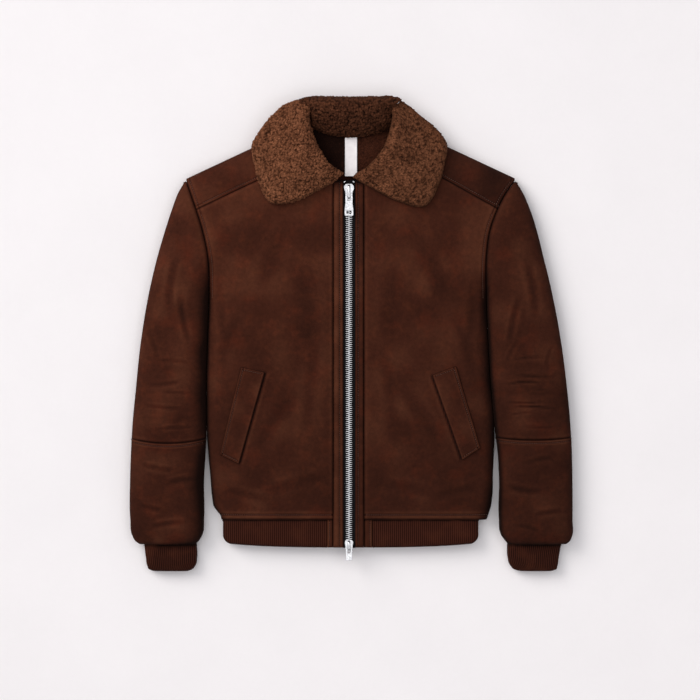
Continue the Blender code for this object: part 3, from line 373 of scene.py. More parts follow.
def bell(value, middle, half):
    """Bell curve: 1 at the middle, falling to a third at half."""
    return np.exp(-((value - middle) / half) ** 2)


def crown(wall, *edges):
    """Wall thickness, lowered towards each edge given as distance, reach and share lost."""
    thick = wall
    for distance, reach, loss in edges:
        thick = thick * (1.0 - loss * (1.0 - rise(distance, reach)))
    return thick


def graded(length, edges, fine, coarse, reach):
    """Places from 0 to 1 along a length: steps of fine beside the edges, growing to coarse at reach."""
    along = np.linspace(0.0, length, 3000)
    nearest = np.min(np.abs(along[None, :] - np.array(edges, dtype=float)[:, None]), axis=0)
    step = fine + (coarse - fine) * ramp(nearest, 0.0, reach)
    count = np.concatenate([[0.0], np.cumsum(2.0 * np.diff(along) / (step[1:] + step[:-1]))])
    places = np.linspace(0.0, count[-1], int(np.ceil(count[-1])) + 1)
    return np.interp(places, count, along) / length


def rolling(x, y, size, seed):
    """Smooth random ground from -1 to 1: random heights on a square lattice, blended by smooth steps."""
    table = np.random.default_rng(seed).uniform(-1.0, 1.0, (128, 128))
    gx = np.asarray(x) / size + 64.0
    gy = np.asarray(y) / size + 64.0
    i = np.floor(gx).astype(int)
    j = np.floor(gy).astype(int)
    fx = ramp(gx - i, 0.0, 1.0)
    fy = ramp(gy - j, 0.0, 1.0)
    low = table[i % 128, j % 128] * (1 - fx) + table[(i + 1) % 128, j % 128] * fx
    high = table[i % 128, (j + 1) % 128] * (1 - fx) + table[(i + 1) % 128, (j + 1) % 128] * fx
    return low * (1 - fy) + high * fy


def curls(points, size, seed):
    """Height of curled tufts, 0 in the gaps and 1 on top: each cell of a cubic lattice holds one tuft at a
    random place, and a point takes the dome of the nearest one, some taller than others."""
    random = np.random.default_rng(seed)
    offsets = random.uniform(0.15, 0.85, (4096, 3))
    tall = random.uniform(0.55, 1.0, 4096)
    grid = points / size
    cell = np.floor(grid).astype(np.int64)
    best = np.full(len(points), 9.0)
    height = np.zeros(len(points))
    for step in np.ndindex(3, 3, 3):
        near = cell + np.array(step) - 1
        key = (near[:, 0] * 73856093 ^ near[:, 1] * 19349663 ^ near[:, 2] * 83492791) & 4095
        distance = np.sum((grid - near - offsets[key]) ** 2, axis=1)
        closer = distance < best
        best = np.where(closer, distance, best)
        height = np.where(closer, tall[key], height)
    return height * np.sqrt(np.clip(1.0 - best / 0.48, 0.0, 1.0))


def shoulder(x):
    """Height of the shoulder line at x."""
    return SHOULDER_Y + (SHOULDER_X - np.abs(x)) * SHOULDER_SLOPE


def neck_seam(x):
    """Height of the back neck seam at x."""
    columns = np.array(NECK_COLUMNS)
    return np.interp(x, columns, NECK_SEAM_Y + NECK_SEAM_RISE * (columns / NECK_SEAM_X) ** 2)


def settle(across, y_from, y_to, columns, vs):
    """Points whose x follows their height and whose height follows their x, found by repeating both."""
    v = np.repeat(np.array(vs)[:, None], columns, axis=1)
    y = np.zeros_like(v)
    for _ in range(24):
        x = across(y)
        y = y_from(x) * (1 - v) + y_to(x) * v
    return across(y), y


def spread(x_from, x_to, y_from, y_to, us, vs):
    """Points of a panel between two side edges, given by height, and two end edges, given by x."""
    u = np.array(us)[None, :]
    return settle(lambda y: x_from(y) * (1 - u) + x_to(y) * u, y_from, y_to, len(us), vs)


# Meshes

def travelled(x, y):
    """Length along a line of points from its start."""
    return np.concatenate([[0.0], np.cumsum(np.hypot(np.diff(x), np.diff(y)))])


def twice_area(ring):
    """Twice the area inside a ring of points, with the sign of the way it turns."""
    return np.sum(ring[:, 0] * np.roll(ring[:, 1], -1) - np.roll(ring[:, 0], -1) * ring[:, 1])


def cut_area(area, width, length):
    """Area of a cut, kept to what its box allows."""
    return float(min(max(area, LEAST_CUT * width * length), width * length))


def make_piece(name, points, faces, material, body="jacket", tone=None, uv=None, sharp=40.0):
    """A piece from whole arrays: points in mm, faces as an array of rows of point numbers or several such
    arrays, and the values that its material reads, tone for each point and uv for each point."""
    mesh = bpy.data.meshes.new(name)
    at = (np.asarray(points, dtype=float) - np.array([MIDDLE_X, MIDDLE_Y, 0.0])) * MM
    kinds = [np.asarray(rows, dtype=np.int32) for rows in (faces if isinstance(faces, list) else [faces])]
    corners = np.concatenate([rows.ravel() for rows in kinds])
    sizes = np.concatenate([np.full(len(rows), rows.shape[1], dtype=np.int32) for rows in kinds])
    mesh.vertices.add(len(at))
    mesh.vertices.foreach_set("co", at.astype(np.float32).ravel())
    mesh.loops.add(len(corners))
    mesh.loops.foreach_set("vertex_index", corners)
    mesh.polygons.add(len(sizes))
    mesh.polygons.foreach_set("loop_start", (np.cumsum(sizes) - sizes).astype(np.int32))
    if tone is not None:
        layer = mesh.attributes.new("tone", "FLOAT", "POINT")
        layer.data.foreach_set("value", tone.astype(np.float32).ravel())
    if uv is not None:
        layer = mesh.uv_layers.new(name="UVMap")
        layer.data.foreach_set("uv", uv.astype(np.float32)[corners].ravel())
    mesh.update(calc_edges=True)
    mesh.validate(clean_customdata=False)
    mesh.shade_smooth()
    mesh.set_sharp_from_angle(angle=math.radians(sharp))
    mesh.materials.append(material)
    piece = bpy.data.objects.new(name, mesh)
    bpy.context.scene.collection.objects.link(piece)
    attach(piece, body)
    return piece


def rim_of(rows, columns):
    """Point numbers round the border of a grid."""
    rim = list(range(columns - 1))
    rim += [i * columns + columns - 1 for i in range(rows - 1)]
    rim += [(rows - 1) * columns + j for j in range(columns - 1, 0, -1)]
    return np.array(rim + [i * columns for i in range(rows - 1, 0, -1)])


def grid_faces(rows, columns):
    """Faces of a grid, turning the same way as its border."""
    i, j = np.meshgrid(np.arange(rows - 1), np.arange(columns - 1), indexing="ij")
    a = (i * columns + j).ravel()
    return np.stack([a, a + 1, a + columns + 1, a + columns], axis=1)


def ring_faces(first, second):
    """Faces between two closed rings with as many points."""
    return np.stack([first, second, np.roll(second, -1), np.roll(first, -1)], axis=1)


def shell_arrays(x, y, face, plane, down):
    """Open skin over a panel: its face as a grid, then sides down to the plane where it meets the layer
    below, drawn in there as a seam is. Returns points, faces and each point's place in the grid."""
    rows, columns = x.shape
    points = np.stack([x, y, face], axis=-1).reshape(-1, 3)
    rim = rim_of(rows, columns)
    border = points[rim]
    along = np.roll(border, -1, axis=0)[:, :2] - np.roll(border, 1, axis=0)[:, :2]
    along /= np.maximum(np.hypot(along[:, 0], along[:, 1]), 1e-6)[:, None]
    turning = twice_area(border)
    outward = np.stack([along[:, 1], -along[:, 0]], axis=1) * np.sign(turning)
    plane_z = np.broadcast_to(plane, x.shape).reshape(-1)[rim]
    levels = [border]
    for share, inset in ((0.45, 0.0), (0.8, 0.35), (1.0, 1.0)):
        level = border.copy()
        level[:, 2] = border[:, 2] + (plane_z - border[:, 2]) * share
        level[:, :2] -= outward * SIDE_GROOVE * inset
        levels.append(level)
    faces = [grid_faces(rows, columns)]
    upper = rim
    for k in range(1, len(levels)):
        lower = rows * columns + (k - 1) * len(rim) + np.arange(len(rim))
        faces.append(ring_faces(upper, lower))
        upper = lower
    faces = np.concatenate(faces)
    if (turning < 0) != down:
        faces = faces[:, ::-1]
    source = np.concatenate([np.arange(rows * columns)] + [rim] * (len(levels) - 1))
    return np.concatenate([points] + levels[1:]), faces, source


def cloth(name, x, y, face, plane, material, replaced, down=False, tone=None, uv=None,
          wall=None, turn=0.0):
    """A cloth panel as a thin shell on its solid's form. The flat size of its cut is worked out too: the box
    of its outline, with turn added where it wraps an edge, and the outline's own area."""
    points, faces, source = shell_arrays(x, y, face, plane, down)
    tone = None if tone is None else tone.reshape(-1)[source]
    uv = None if uv is None else uv.reshape(-1, 2)[source]
    piece = make_piece(name, points, faces, material, tone=tone, uv=uv)
    thick = piece.modifiers.new("hide", "SOLIDIFY")
    thick.thickness = wall or bpy.context.scene.jacket_sizes.hide
    thick.offset = -1.0
    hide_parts(*replaced)
    width = float(np.ptp(x)) + turn
    length = float(np.ptp(y)) + turn
    area = abs(twice_area(points[rim_of(*x.shape)])) / 2
    area = area * width * length / (np.ptp(x) * np.ptp(y))
    return piece


def tube_faces(rings, count):
    """Faces of a tube through rings of as many points, and of the fans that close both of its ends, whose
    middle points follow the rings'."""
    i, j = np.meshgrid(np.arange(rings - 1), np.arange(count), indexing="ij")
    a = (i * count + j).ravel()
    b = (i * count + (j + 1) % count).ravel()
    sides = np.stack([a, b, b + count, a + count], axis=1)
    first = np.arange(count)
    last = (rings - 1) * count + first
    near = np.full(count, rings * count)
    ends = [np.stack([near, np.roll(first, -1), first], axis=1),
            np.stack([near + 1, last, np.roll(last, -1)], axis=1)]
    return [sides, np.concatenate(ends)]


def turned_over(faces):
    """The same faces with their normals turned round."""
    return [rows[:, ::-1] for rows in faces]


def surface_normals(grid, wrapped):
    """Unit normals of a grid of points, by the cross of its steps both ways; wrapped closes its columns."""
    if wrapped:
        across = np.roll(grid, -1, axis=1) - np.roll(grid, 1, axis=1)
    else:
        across = np.gradient(grid, axis=1)
    along = np.gradient(grid, axis=0)
    normals = np.cross(across, along)
    return normals / np.maximum(np.linalg.norm(normals, axis=2, keepdims=True), 1e-9)


# Materials

def linear(code):
    """sRGB hex colour as linear red, green and blue."""
    parts = [int(code[k:k + 2], 16) / 255.0 for k in (1, 3, 5)]
    return tuple(c / 12.92 if c <= 0.04045 else ((c + 0.055) / 1.055) ** 2.4 for c in parts)


def per_metre(size_mm):
    """Scale of a texture whose grains are that many millimetres wide."""
    return 1.0 / (size_mm * MM)


def add_node(tree, kind, inputs=None, **settings):
    """One node with its settings; each input's value is a number, a colour or another node's output."""
    made = tree.nodes.new(kind)
    for name, value in settings.items():
        setattr(made, name, value)
    for name, value in (inputs or {}).items():
        if isinstance(value, bpy.types.NodeSocket):
            tree.links.new(value, made.inputs[name])
        else:
            made.inputs[name].default_value = value
    return made


def new_material(name, **shader_inputs):
    """A material with its tree, its shader and the constants set on the shader's own sockets."""
    made = bpy.data.materials.new(name)
    made.use_nodes = True
    shader = made.node_tree.nodes["Principled BSDF"]
    for key, value in shader_inputs.items():
        shader.inputs[key.replace("_", " ")].default_value = value
    return made, made.node_tree, shader


def blend_colour(tree, factor, first, second):
    """Output that mixes two colours by a factor."""
    inputs = {0: factor, 6: first, 7: second}
    return add_node(tree, "ShaderNodeMix", inputs, data_type="RGBA").outputs[2]


def noise(tree, vector, size_mm, detail=4.0, rough=0.55):
    """Output from 0 to 1 of a noise whose grains are that wide."""
    inputs = {"Vector": vector, "Scale": per_metre(size_mm), "Detail": detail, "Roughness": rough}
    return add_node(tree, "ShaderNodeTexNoise", inputs).outputs["Fac"]


def spread_out(tree, value, low, high):
    """Output that stretches low..high to 0..1."""
    inputs = {"Value": value, "From Min": low, "From Max": high}
    return add_node(tree, "ShaderNodeMapRange", inputs).outputs["Result"]


def painted_light_fall(tree, place, axis, half, low, high):
    """Painted light: output that changes slowly along an axis, from low at minus half a length to high at
    plus half, to darken a piece away from the light.
    """
    parts = add_node(tree, "ShaderNodeSeparateXYZ", {0: place})
    inputs = {"Value": parts.outputs[axis], "From Min": -half, "From Max": half, "To Min": low,
              "To Max": high}
    return add_node(tree, "ShaderNodeMapRange", inputs).outputs["Result"]


def colour(value):
    """A colour property with full alpha."""
    return tuple(value) + (1.0,)


def made_once(name, maker):
    """The material of that name, made at its first use."""
    return bpy.data.materials.get(name) or maker(name)


def brushed_suede(name):
    """Sheepskin dyed right through with its flesh side brushed: no shine, a short nap that is pushed lighter
    and darker in clouds, paler on seam ridges and lips, where rubbed wear and a painted highlight both show,
    and dark in stitched grooves, with shade painted into creases, folds and openings."""
    colours = bpy.context.scene.jacket_colours
    made, tree, shader = new_material(
        name, Roughness=0.95, IOR=1.45, Specular_IOR_Level=0.1, Sheen_Weight=0.07, Sheen_Roughness=0.5,
        Sheen_Tint=colour(colours.suede_wear_and_highlight))
    place = add_node(tree, "ShaderNodeTexCoord").outputs["Object"]
    clouds = noise(tree, place, 96.0, 6.0, 0.62)
    patches = noise(tree, place, 17.0, 4.0, 0.6)
    nap = noise(tree, place, 1.5, 3.0, 0.6)
    tone = add_node(tree, "ShaderNodeAttribute", attribute_name="tone").outputs["Fac"]
    # Painted light: the hide darker towards the bottom and towards the right, away from the light at the
    # upper left
    down = painted_light_fall(tree, place, "Y", 0.24, 0.76, 1.06)
    right = painted_light_fall(tree, place, "X", 0.3, 1.12, 0.84)
    body = blend_colour(tree, spread_out(tree, clouds, 0.25, 0.8), colour(colours.suede_dark),
                        colour(colours.suede))
    body = blend_colour(tree, spread_out(tree, patches, 0.5, 0.95), body, colour(colours.suede_light))
    red = spread_out(tree, noise(tree, place, 34.0, 3.0), 0.52, 0.8)
    body = blend_colour(tree, red, body, colour(colours.suede_red))
    # The tone paints highlights on ridges and lips, partly rubbed wear, and shade in creases, folds and
    # openings, over the seams' own dark lines
    body = blend_colour(tree, spread_out(tree, tone, 0.0, 1.6), body, colour(colours.suede_wear_and_highlight))
    body = blend_colour(tree, spread_out(tree, tone, 0.0, -1.3), body, colour(colours.suede_groove_and_shade))
    speckle = add_node(tree, "ShaderNodeMapRange", {"Value": nap, "From Min": 0.2, "From Max": 0.8,
                                                    "To Min": 0.86, "To Max": 1.12}).outputs["Result"]
    patches = noise(tree, place, 6.5, 4.0, 0.65)
    mottle = add_node(tree, "ShaderNodeMapRange", {"Value": patches, "From Min": 0.3, "From Max": 0.7,
                                                   "To Min": 0.84, "To Max": 1.16}).outputs["Result"]
    for share in (speckle, mottle, down, right):
        body = add_node(tree, "ShaderNodeVectorMath", {0: body, 1: share}, operation="MULTIPLY").outputs[0]
    tree.links.new(body, shader.inputs["Base Color"])
    grain = add_node(tree, "ShaderNodeBump", {"Height": nap, "Strength": 0.5, "Distance": 0.25 * MM})
    drape = add_node(tree, "ShaderNodeBump", {"Height": patches, "Strength": 0.5, "Distance": 0.9 * MM,
                                              "Normal": grain.outputs["Normal"]})
    tree.links.new(drape.outputs["Normal"], shader.inputs["Normal"])
    return made


def curly_fleece(name, dark, light, tip_and_highlight, sheen):
    """Sheep's wool left as curled tufts: matt, with shade painted dark between the tufts, and paler and
    warmer on their tips, partly the wool's own ends and partly a painted highlight.
    """
    made, tree, shader = new_material(
        name, Roughness=1.0, IOR=1.55, Specular_IOR_Level=0.06, Sheen_Weight=sheen, Sheen_Roughness=0.6,
        Sheen_Tint=colour(light))
    place = add_node(tree, "ShaderNodeTexCoord").outputs["Object"]
    tone = add_node(tree, "ShaderNodeAttribute", attribute_name="tone").outputs["Fac"]
    patches = noise(tree, place, 24.0, 3.0)
    fibres = noise(tree, place, 1.1, 3.0, 0.7)
    cells = add_node(tree, "ShaderNodeTexVoronoi", {"Vector": place, "Scale": per_metre(2.2)})
    locks = cells.outputs["Distance"]
    # The tufts' height mixes the colours: painted shade dark between the tufts
    body = blend_colour(tree, spread_out(tree, tone, 0.1, 0.85), colour(dark), colour(light))
    # Tip colour on the tops of the tufts: partly the wool's own paler ends, partly a painted highlight
    tips = add_node(tree, "ShaderNodeMath", {0: spread_out(tree, fibres, 0.5, 0.75),
                                             1: spread_out(tree, tone, 0.4, 1.0)}, operation="MULTIPLY")
    body = blend_colour(tree, tips.outputs[0], body, colour(tip_and_highlight))
    shade = blend_colour(tree, spread_out(tree, patches, 0.35, 0.65), (0.78, 0.74, 0.72, 1.0),
                         (1.08, 1.06, 1.04, 1.0))
    grains = noise(tree, place, 1.9, 4.0, 0.75)
    speckle = add_node(tree, "ShaderNodeMapRange", {"Value": grains, "From Min": 0.3, "From Max": 0.7,
                                                    "To Min": 0.5, "To Max": 1.5}).outputs["Result"]
    # Painted light: the wool darker towards the right, away from the light
    for share in (shade, speckle, painted_light_fall(tree, place, "X", 0.12, 1.1, 0.82)):
        body = add_node(tree, "ShaderNodeVectorMath", {0: body, 1: share}, operation="MULTIPLY").outputs[0]
    tree.links.new(body, shader.inputs["Base Color"])
    curl = add_node(tree, "ShaderNodeBump", {"Height": locks, "Strength": 0.8, "Distance": 0.7 * MM},
                    invert=True)
    hair = add_node(tree, "ShaderNodeBump", {"Height": fibres, "Strength": 0.8, "Distance": 0.5 * MM,
                                             "Normal": curl.outputs["Normal"]})
    tree.links.new(hair.outputs["Normal"], shader.inputs["Normal"])
    return made


def collar_fleece(name):
    """The collar's fleece, the palest wool on the jacket."""
    colours = bpy.context.scene.jacket_colours
    return curly_fleece(name, colours.wool_dark, colours.wool, colours.wool_tip, 0.12)


def inner_fleece(name):
    """The fleece inside the neck: a darker copy of the collar's wool, with shade painted into its colours
    where it lies inside the neck.
    """
    colours = bpy.context.scene.jacket_colours
    return curly_fleece(name, colours.inner_dark, colours.inner, colours.wool, 0.05)


def facing_fleece(name):
    """Short sheared wool of the back-neck facing."""
    colours = bpy.context.scene.jacket_colours
    return curly_fleece(name, colours.facing_dark, colours.facing, colours.inner, 0.03)


def rib_knit(name):
    """Wool knitted in ribs: matt yarn whose stitches lean as a V down each rib, with shade painted between
    the stitches and into the furrows.
    """
    colours = bpy.context.scene.jacket_colours
    made, tree, shader = new_material(
        name, Roughness=0.95, IOR=1.5, Specular_IOR_Level=0.08, Sheen_Weight=0.08, Sheen_Roughness=0.5,
        Sheen_Tint=colour(colours.rib))
    coords = add_node(tree, "ShaderNodeTexCoord")
    tone = add_node(tree, "ShaderNodeAttribute", attribute_name="tone").outputs["Fac"]
    parts = add_node(tree, "ShaderNodeSeparateXYZ", {0: coords.outputs["UV"]})
    across = add_node(tree, "ShaderNodeMath", {0: parts.outputs["X"]}, operation="FRACT").outputs[0]
    lean = add_node(tree, "ShaderNodeMath", {0: across, 1: 0.5}, operation="SUBTRACT").outputs[0]
    lean = add_node(tree, "ShaderNodeMath", {0: lean}, operation="ABSOLUTE").outputs[0]
    wale = add_node(tree, "ShaderNodeMath", {0: parts.outputs["Y"], 1: lean}, operation="ADD").outputs[0]
    wave = add_node(tree, "ShaderNodeMath", {0: wale, 1: 2.0 * math.pi}, operation="MULTIPLY").outputs[0]
    stitch = add_node(tree, "ShaderNodeMath", {0: wave}, operation="SINE").outputs[0]
    fuzz = noise(tree, coords.outputs["Object"], 0.9, 3.0, 0.7)
    cloud = noise(tree, coords.outputs["Object"], 30.0, 3.0)
    body = blend_colour(tree, spread_out(tree, tone, 0.05, 0.9), colour(colours.rib_dark),
                        colour(colours.rib))
    shade = add_node(tree, "ShaderNodeMapRange", {"Value": stitch, "From Min": -1.0, "From Max": 1.0,
                                                  "To Min": 0.82, "To Max": 1.1}).outputs["Result"]
    body = add_node(tree, "ShaderNodeVectorMath", {0: body, 1: shade}, operation="MULTIPLY").outputs[0]
    body = blend_colour(tree, spread_out(tree, cloud, 0.5, 0.8), body, colour(colours.suede))
    tree.links.new(body, shader.inputs["Base Color"])
    knit = add_node(tree, "ShaderNodeBump", {"Height": stitch, "Strength": 0.7, "Distance": 0.25 * MM})
    hair = add_node(tree, "ShaderNodeBump", {"Height": fuzz, "Strength": 0.5, "Distance": 0.3 * MM,
                                             "Normal": knit.outputs["Normal"]})
    tree.links.new(hair.outputs["Normal"], shader.inputs["Normal"])
    return made


def twisted_thread(name):
    """Bonded polyester sewing thread, twisted: a faint shine, a shade paler than the hide."""
    colours = bpy.context.scene.jacket_colours
    made, tree, shader = new_material(name, Roughness=0.55, IOR=1.57, Specular_IOR_Level=0.4)
    place = add_node(tree, "ShaderNodeTexCoord").outputs["Object"]
    twist = noise(tree, place, 0.6, 2.0)
    body = blend_colour(tree, spread_out(tree, twist, 0.3, 0.7), colour(colours.suede),
                        colour(colours.thread))
    tree.links.new(body, shader.inputs["Base Color"])
    bump = add_node(tree, "ShaderNodeBump", {"Height": twist, "Strength": 0.4, "Distance": 0.15 * MM})
    tree.links.new(bump.outputs["Normal"], shader.inputs["Normal"])
    return made


def polished_nickel(name):
    """Nickel-plated brass, tumbled then polished: bright, with faint wear in its roughness."""
    colours = bpy.context.scene.jacket_colours
    made, tree, shader = new_material(name, Metallic=1.0, Roughness=0.24)
    place = add_node(tree, "ShaderNodeTexCoord").outputs["Object"]
    wear = noise(tree, place, 2.4, 4.0)
    grains = noise(tree, place, 0.3, 2.0)
    body = blend_colour(tree, spread_out(tree, wear, 0.3, 0.75), colour(colours.metal),
                        colour(colours.metal_dull))
    tree.links.new(body, shader.inputs["Base Color"])
    rough = add_node(tree, "ShaderNodeMapRange", {"Value": wear, "From Min": 0.25, "From Max": 0.75,
                                                  "To Min": 0.16, "To Max": 0.36}).outputs["Result"]
    tree.links.new(rough, shader.inputs["Roughness"])
    bump = add_node(tree, "ShaderNodeBump", {"Height": grains, "Strength": 0.15, "Distance": 0.05 * MM})
    tree.links.new(bump.outputs["Normal"], shader.inputs["Normal"])
    return made


def woven_tape(name):
    """Polyester zip tape woven in a fine herringbone: near black, with a low shine across its threads."""
    colours = bpy.context.scene.jacket_colours
    made, tree, shader = new_material(name, Roughness=0.9, IOR=1.57, Specular_IOR_Level=0.1)
    place = add_node(tree, "ShaderNodeTexCoord").outputs["Object"]
    turned = add_node(tree, "ShaderNodeMapping", {"Vector": place, "Rotation": (0.0, 0.0, math.radians(45))})
    threads = add_node(tree, "ShaderNodeTexWave", {"Vector": turned.outputs["Vector"],
                                                   "Scale": per_metre(0.9) / 6.28,
                                                   "Distortion": 0.6}).outputs["Fac"]
    body = blend_colour(tree, threads, colour(colours.tape_dark), colour(colours.tape))
    tree.links.new(body, shader.inputs["Base Color"])
    bump = add_node(tree, "ShaderNodeBump", {"Height": threads, "Strength": 0.5, "Distance": 0.12 * MM})
    tree.links.new(bump.outputs["Normal"], shader.inputs["Normal"])
    return made


def woven_satin(name):
    """Polyester satin of a sewn-in label: off-white, smooth along its warp with fine weft lines."""
    colours = bpy.context.scene.jacket_colours
    made, tree, shader = new_material(name, Roughness=0.5, IOR=1.57, Specular_IOR_Level=0.4, Sheen_Weight=0.1)
    place = add_node(tree, "ShaderNodeTexCoord").outputs["Object"]
    weft = add_node(tree, "ShaderNodeTexWave", {"Vector": place, "Scale": per_metre(1.2) / 6.28,
                                                "Distortion": 0.8, "Detail": 2.0},
                    bands_direction="Y").outputs["Fac"]
    soft = noise(tree, place, 9.0, 3.0)
    body = blend_colour(tree, spread_out(tree, soft, 0.3, 0.7), colour(colours.label),
                        colour(colours.label_shade))
    tree.links.new(body, shader.inputs["Base Color"])
    bump = add_node(tree, "ShaderNodeBump", {"Height": weft, "Strength": 0.25, "Distance": 0.1 * MM})
    tree.links.new(bump.outputs["Normal"], shader.inputs["Normal"])
    return made


def plaster_floor(name):
    """Pale trowelled plaster: matt, with faint clouds and a fine grain."""
    colours = bpy.context.scene.jacket_colours
    made, tree, shader = new_material(name, Roughness=0.9, Specular_IOR_Level=0.1)
    place = add_node(tree, "ShaderNodeTexCoord").outputs["Object"]
    clouds = noise(tree, place, 160.0, 5.0, 0.6)
    grain = noise(tree, place, 6.0, 5.0, 0.7)
    body = blend_colour(tree, spread_out(tree, clouds, 0.3, 0.7), colour(colours.floor_shade),
                        colour(colours.floor))
    tree.links.new(body, shader.inputs["Base Color"])
    bump = add_node(tree, "ShaderNodeBump", {"Height": grain, "Strength": 0.35, "Distance": 1.2 * MM})
    tree.links.new(bump.outputs["Normal"], shader.inputs["Normal"])
    return made


# Body

def suede():
    """The hide's material."""
    return made_once("suede_brushed", brushed_suede)


def body_edge(side):
    """Side edge of the body by height."""
    return lambda y: follow(BODY_ROWS, 0, BODY_COLUMN[side], y)


def sleeve_edge(side, where, rows=SLEEVE_ROWS):
    """Outer or inner edge of a sleeve or cuff by height."""
    return lambda y: follow(rows, 0, SLEEVE_COLUMN[side][where], y)


def front_end(side):
    """Upper end of a front by x: the neckline, then the yoke seam."""
    points = NECKLINE[side] + YOKE_SEAM[side][1:]
    return lambda x: polyline(points, 0, 1, x)


def creased(panel, x, y):
    """Depth of a panel's creases: each is a trough with two low lips, fading at its ends, and bowed."""
    depth = np.zeros_like(x)
    for values in CREASES[panel]:
        row = dict(zip(CREASE_COLUMNS, values))
        turn = math.radians(row["turn"])
        along = ((x - row["x"]) * math.cos(turn) + (y - row["y"]) * math.sin(turn)) / (row["length"] / 2)
        across = (y - row["y"]) * math.cos(turn) - (x - row["x"]) * math.sin(turn)
        across = across - row["bow"] * (1 - along ** 2)
        fade = 1.0 - ramp(np.abs(along), 0.35, 1.0)
        across = across / (CREASE_SHARP * row["half"])
        depth += row["depth"] * fade * (np.exp(-across ** 2) - 0.45 * bell(np.abs(across), 2.1, 0.9))
    return depth * bpy.context.scene.jacket_sizes.crease


def hide_ground(x, y, seed):
    """Slow rise and fall of soft hide laid flat."""
    return (0.75 * rolling(x, y, 52.0, seed) + 0.4 * rolling(x, y, 21.0, seed + 1)
            + 0.12 * rolling(x, y, 7.0, seed + 2))


def lines_over(lines):
    """Sum of seam lines: each row is a distance, the place, half width, height and tone of its ridge or
    groove, and where it shows. A positive tone is a painted highlight on a ridge or lip; a negative one
    darkens seam grooves and paints shade in creases and openings. Returns heights and tones."""
    height = 0.0
    tone = 0.0
    for distance, place, half, rises, shade, shown in lines:
        shape = bell(distance, place, half) * shown
        height = height + rises * shape
        tone = tone + shade * shape * np.where(shade > 0, 0.42, 0.75)
    return height, tone


def welt_place(side, x, y):
    """Place on a pocket welt: distance past its inner edge, measured outwards, and share along it."""
    corner = {key: np.array(value) for key, value in WELTS[side].items()}
    run = corner["top_in"] - corner["low_in"]
    length = np.hypot(*run)
    along = ((x - corner["low_in"][0]) * run[0] + (y - corner["low_in"][1]) * run[1]) / length ** 2
    across = ((y - corner["low_in"][1]) * run[0] - (x - corner["low_in"][0]) * run[1]) / length
    return across * -SIGN[side], along


def front_top(side, x, y):
    """Upper face of a front as its solid has it: low at the seams and rounded off at the side."""
    outer = body_edge(side)(y)
    armhole = ramp(y, 60.0, 130.0)
    thick = crown(
        BODY_WALL,
        (SIGN[side] * (x - PLACKET[side]), 12.0, 0.14),
        (SIGN[side] * (outer - x), 44.0 - 28.0 * armhole, 0.84 - 0.66 * armhole),
        (front_end(side)(x) - y, 12.0, 0.12),
        (y - HEM_TOP_Y, 34.0, 0.30),
    )
    return BODY_PLANE + SEAM + thick


def front_face(side, x, y):
    """A front's face and tone: its solid's form with the hem's puckered ridge, the stitched lines beside
    the armhole, the pocket opening's lip and the hide's own creases. The tone darkens the seams' grooves,
    paints highlights on their ridges and the lip, and paints shade in the creases, in the pocket opening
    and along the side where the front rounds down against the sleeve."""
    stitched = y - HEM_TOP_Y
    from_side = SIGN[side] * (body_edge(side)(y) - x)
    from_placket = SIGN[side] * (x - PLACKET[side])
    from_yoke = front_end(side)(x) - y
    armhole = ramp(y, 40.0, 110.0)
    pucker = 1.0 + 0.35 * rolling(x, y * 0.2, 9.0, 3) + 0.2 * rolling(x, y * 0.2, 4.0, 4)
    across, along = welt_place(side, x, y)
    opening = ramp(along, -0.01, 0.02) * (1.0 - ramp(along, 0.98, 1.01))
    yoke_shown = ramp(np.abs(x), 50.0, 70.0)
    height, tone = lines_over((
        (stitched, 4.6, 1.8, 1.3 * pucker, 1.9 * pucker, 1.0),
        (stitched, HEM_LINE, 1.0, -0.8, -1.0, 1.0),
        (stitched, 0.0, 1.2, -0.6, -1.2, 1.0),
        (stitched, 12.0, 2.6, 0.5 * pucker, 0.9 * pucker, 1.0),
        (from_side, 0.0, 1.8, 0.0, -1.0, armhole),
        (from_side, 2.9, 1.5, 0.55, 0.75, armhole),
        (from_side, SIDE_LINE, 0.9, -0.65, -1.1, armhole),
        (from_side, 9.0, 3.5, 0.3, 0.65, armhole),
        (from_side, 14.0, 9.0, 0.0, 0.4, 1.0),
        (from_side, 0.0, PAINTED_SHADE_SIDE[side], 0.0, -1.7, 1.0 - armhole),
        (from_placket, 0.0, 1.5, -0.4, -1.1, 1.0),
        (from_placket, 3.6, 2.2, 0.25, 0.55, 1.0),
        (from_yoke, 0.0, 1.5, -0.3, -0.7, yoke_shown),
        (from_yoke, 4.0, 2.6, 0.2, 0.4, yoke_shown),
        (across, -0.6, 2.0, -0.9, -1.9, opening),
        (across, -5.2, 2.6, 0.6, 0.9, opening),
    ))
    quiet = ramp(from_placket, 0.0, 20.0) * ramp(stitched, 0.0, 20.0) * ramp(from_side, 0.0, 12.0)
    face = front_top(side, x, y) + height + quiet * hide_ground(x, y, 11)
    face = face - quiet * creased("body_" + side, x, y)
    tone = tone + 0.35 * rolling(x, y, 38.0, 21) - 0.25 * quiet * creased("body_" + side, x, y)
    return face, tone


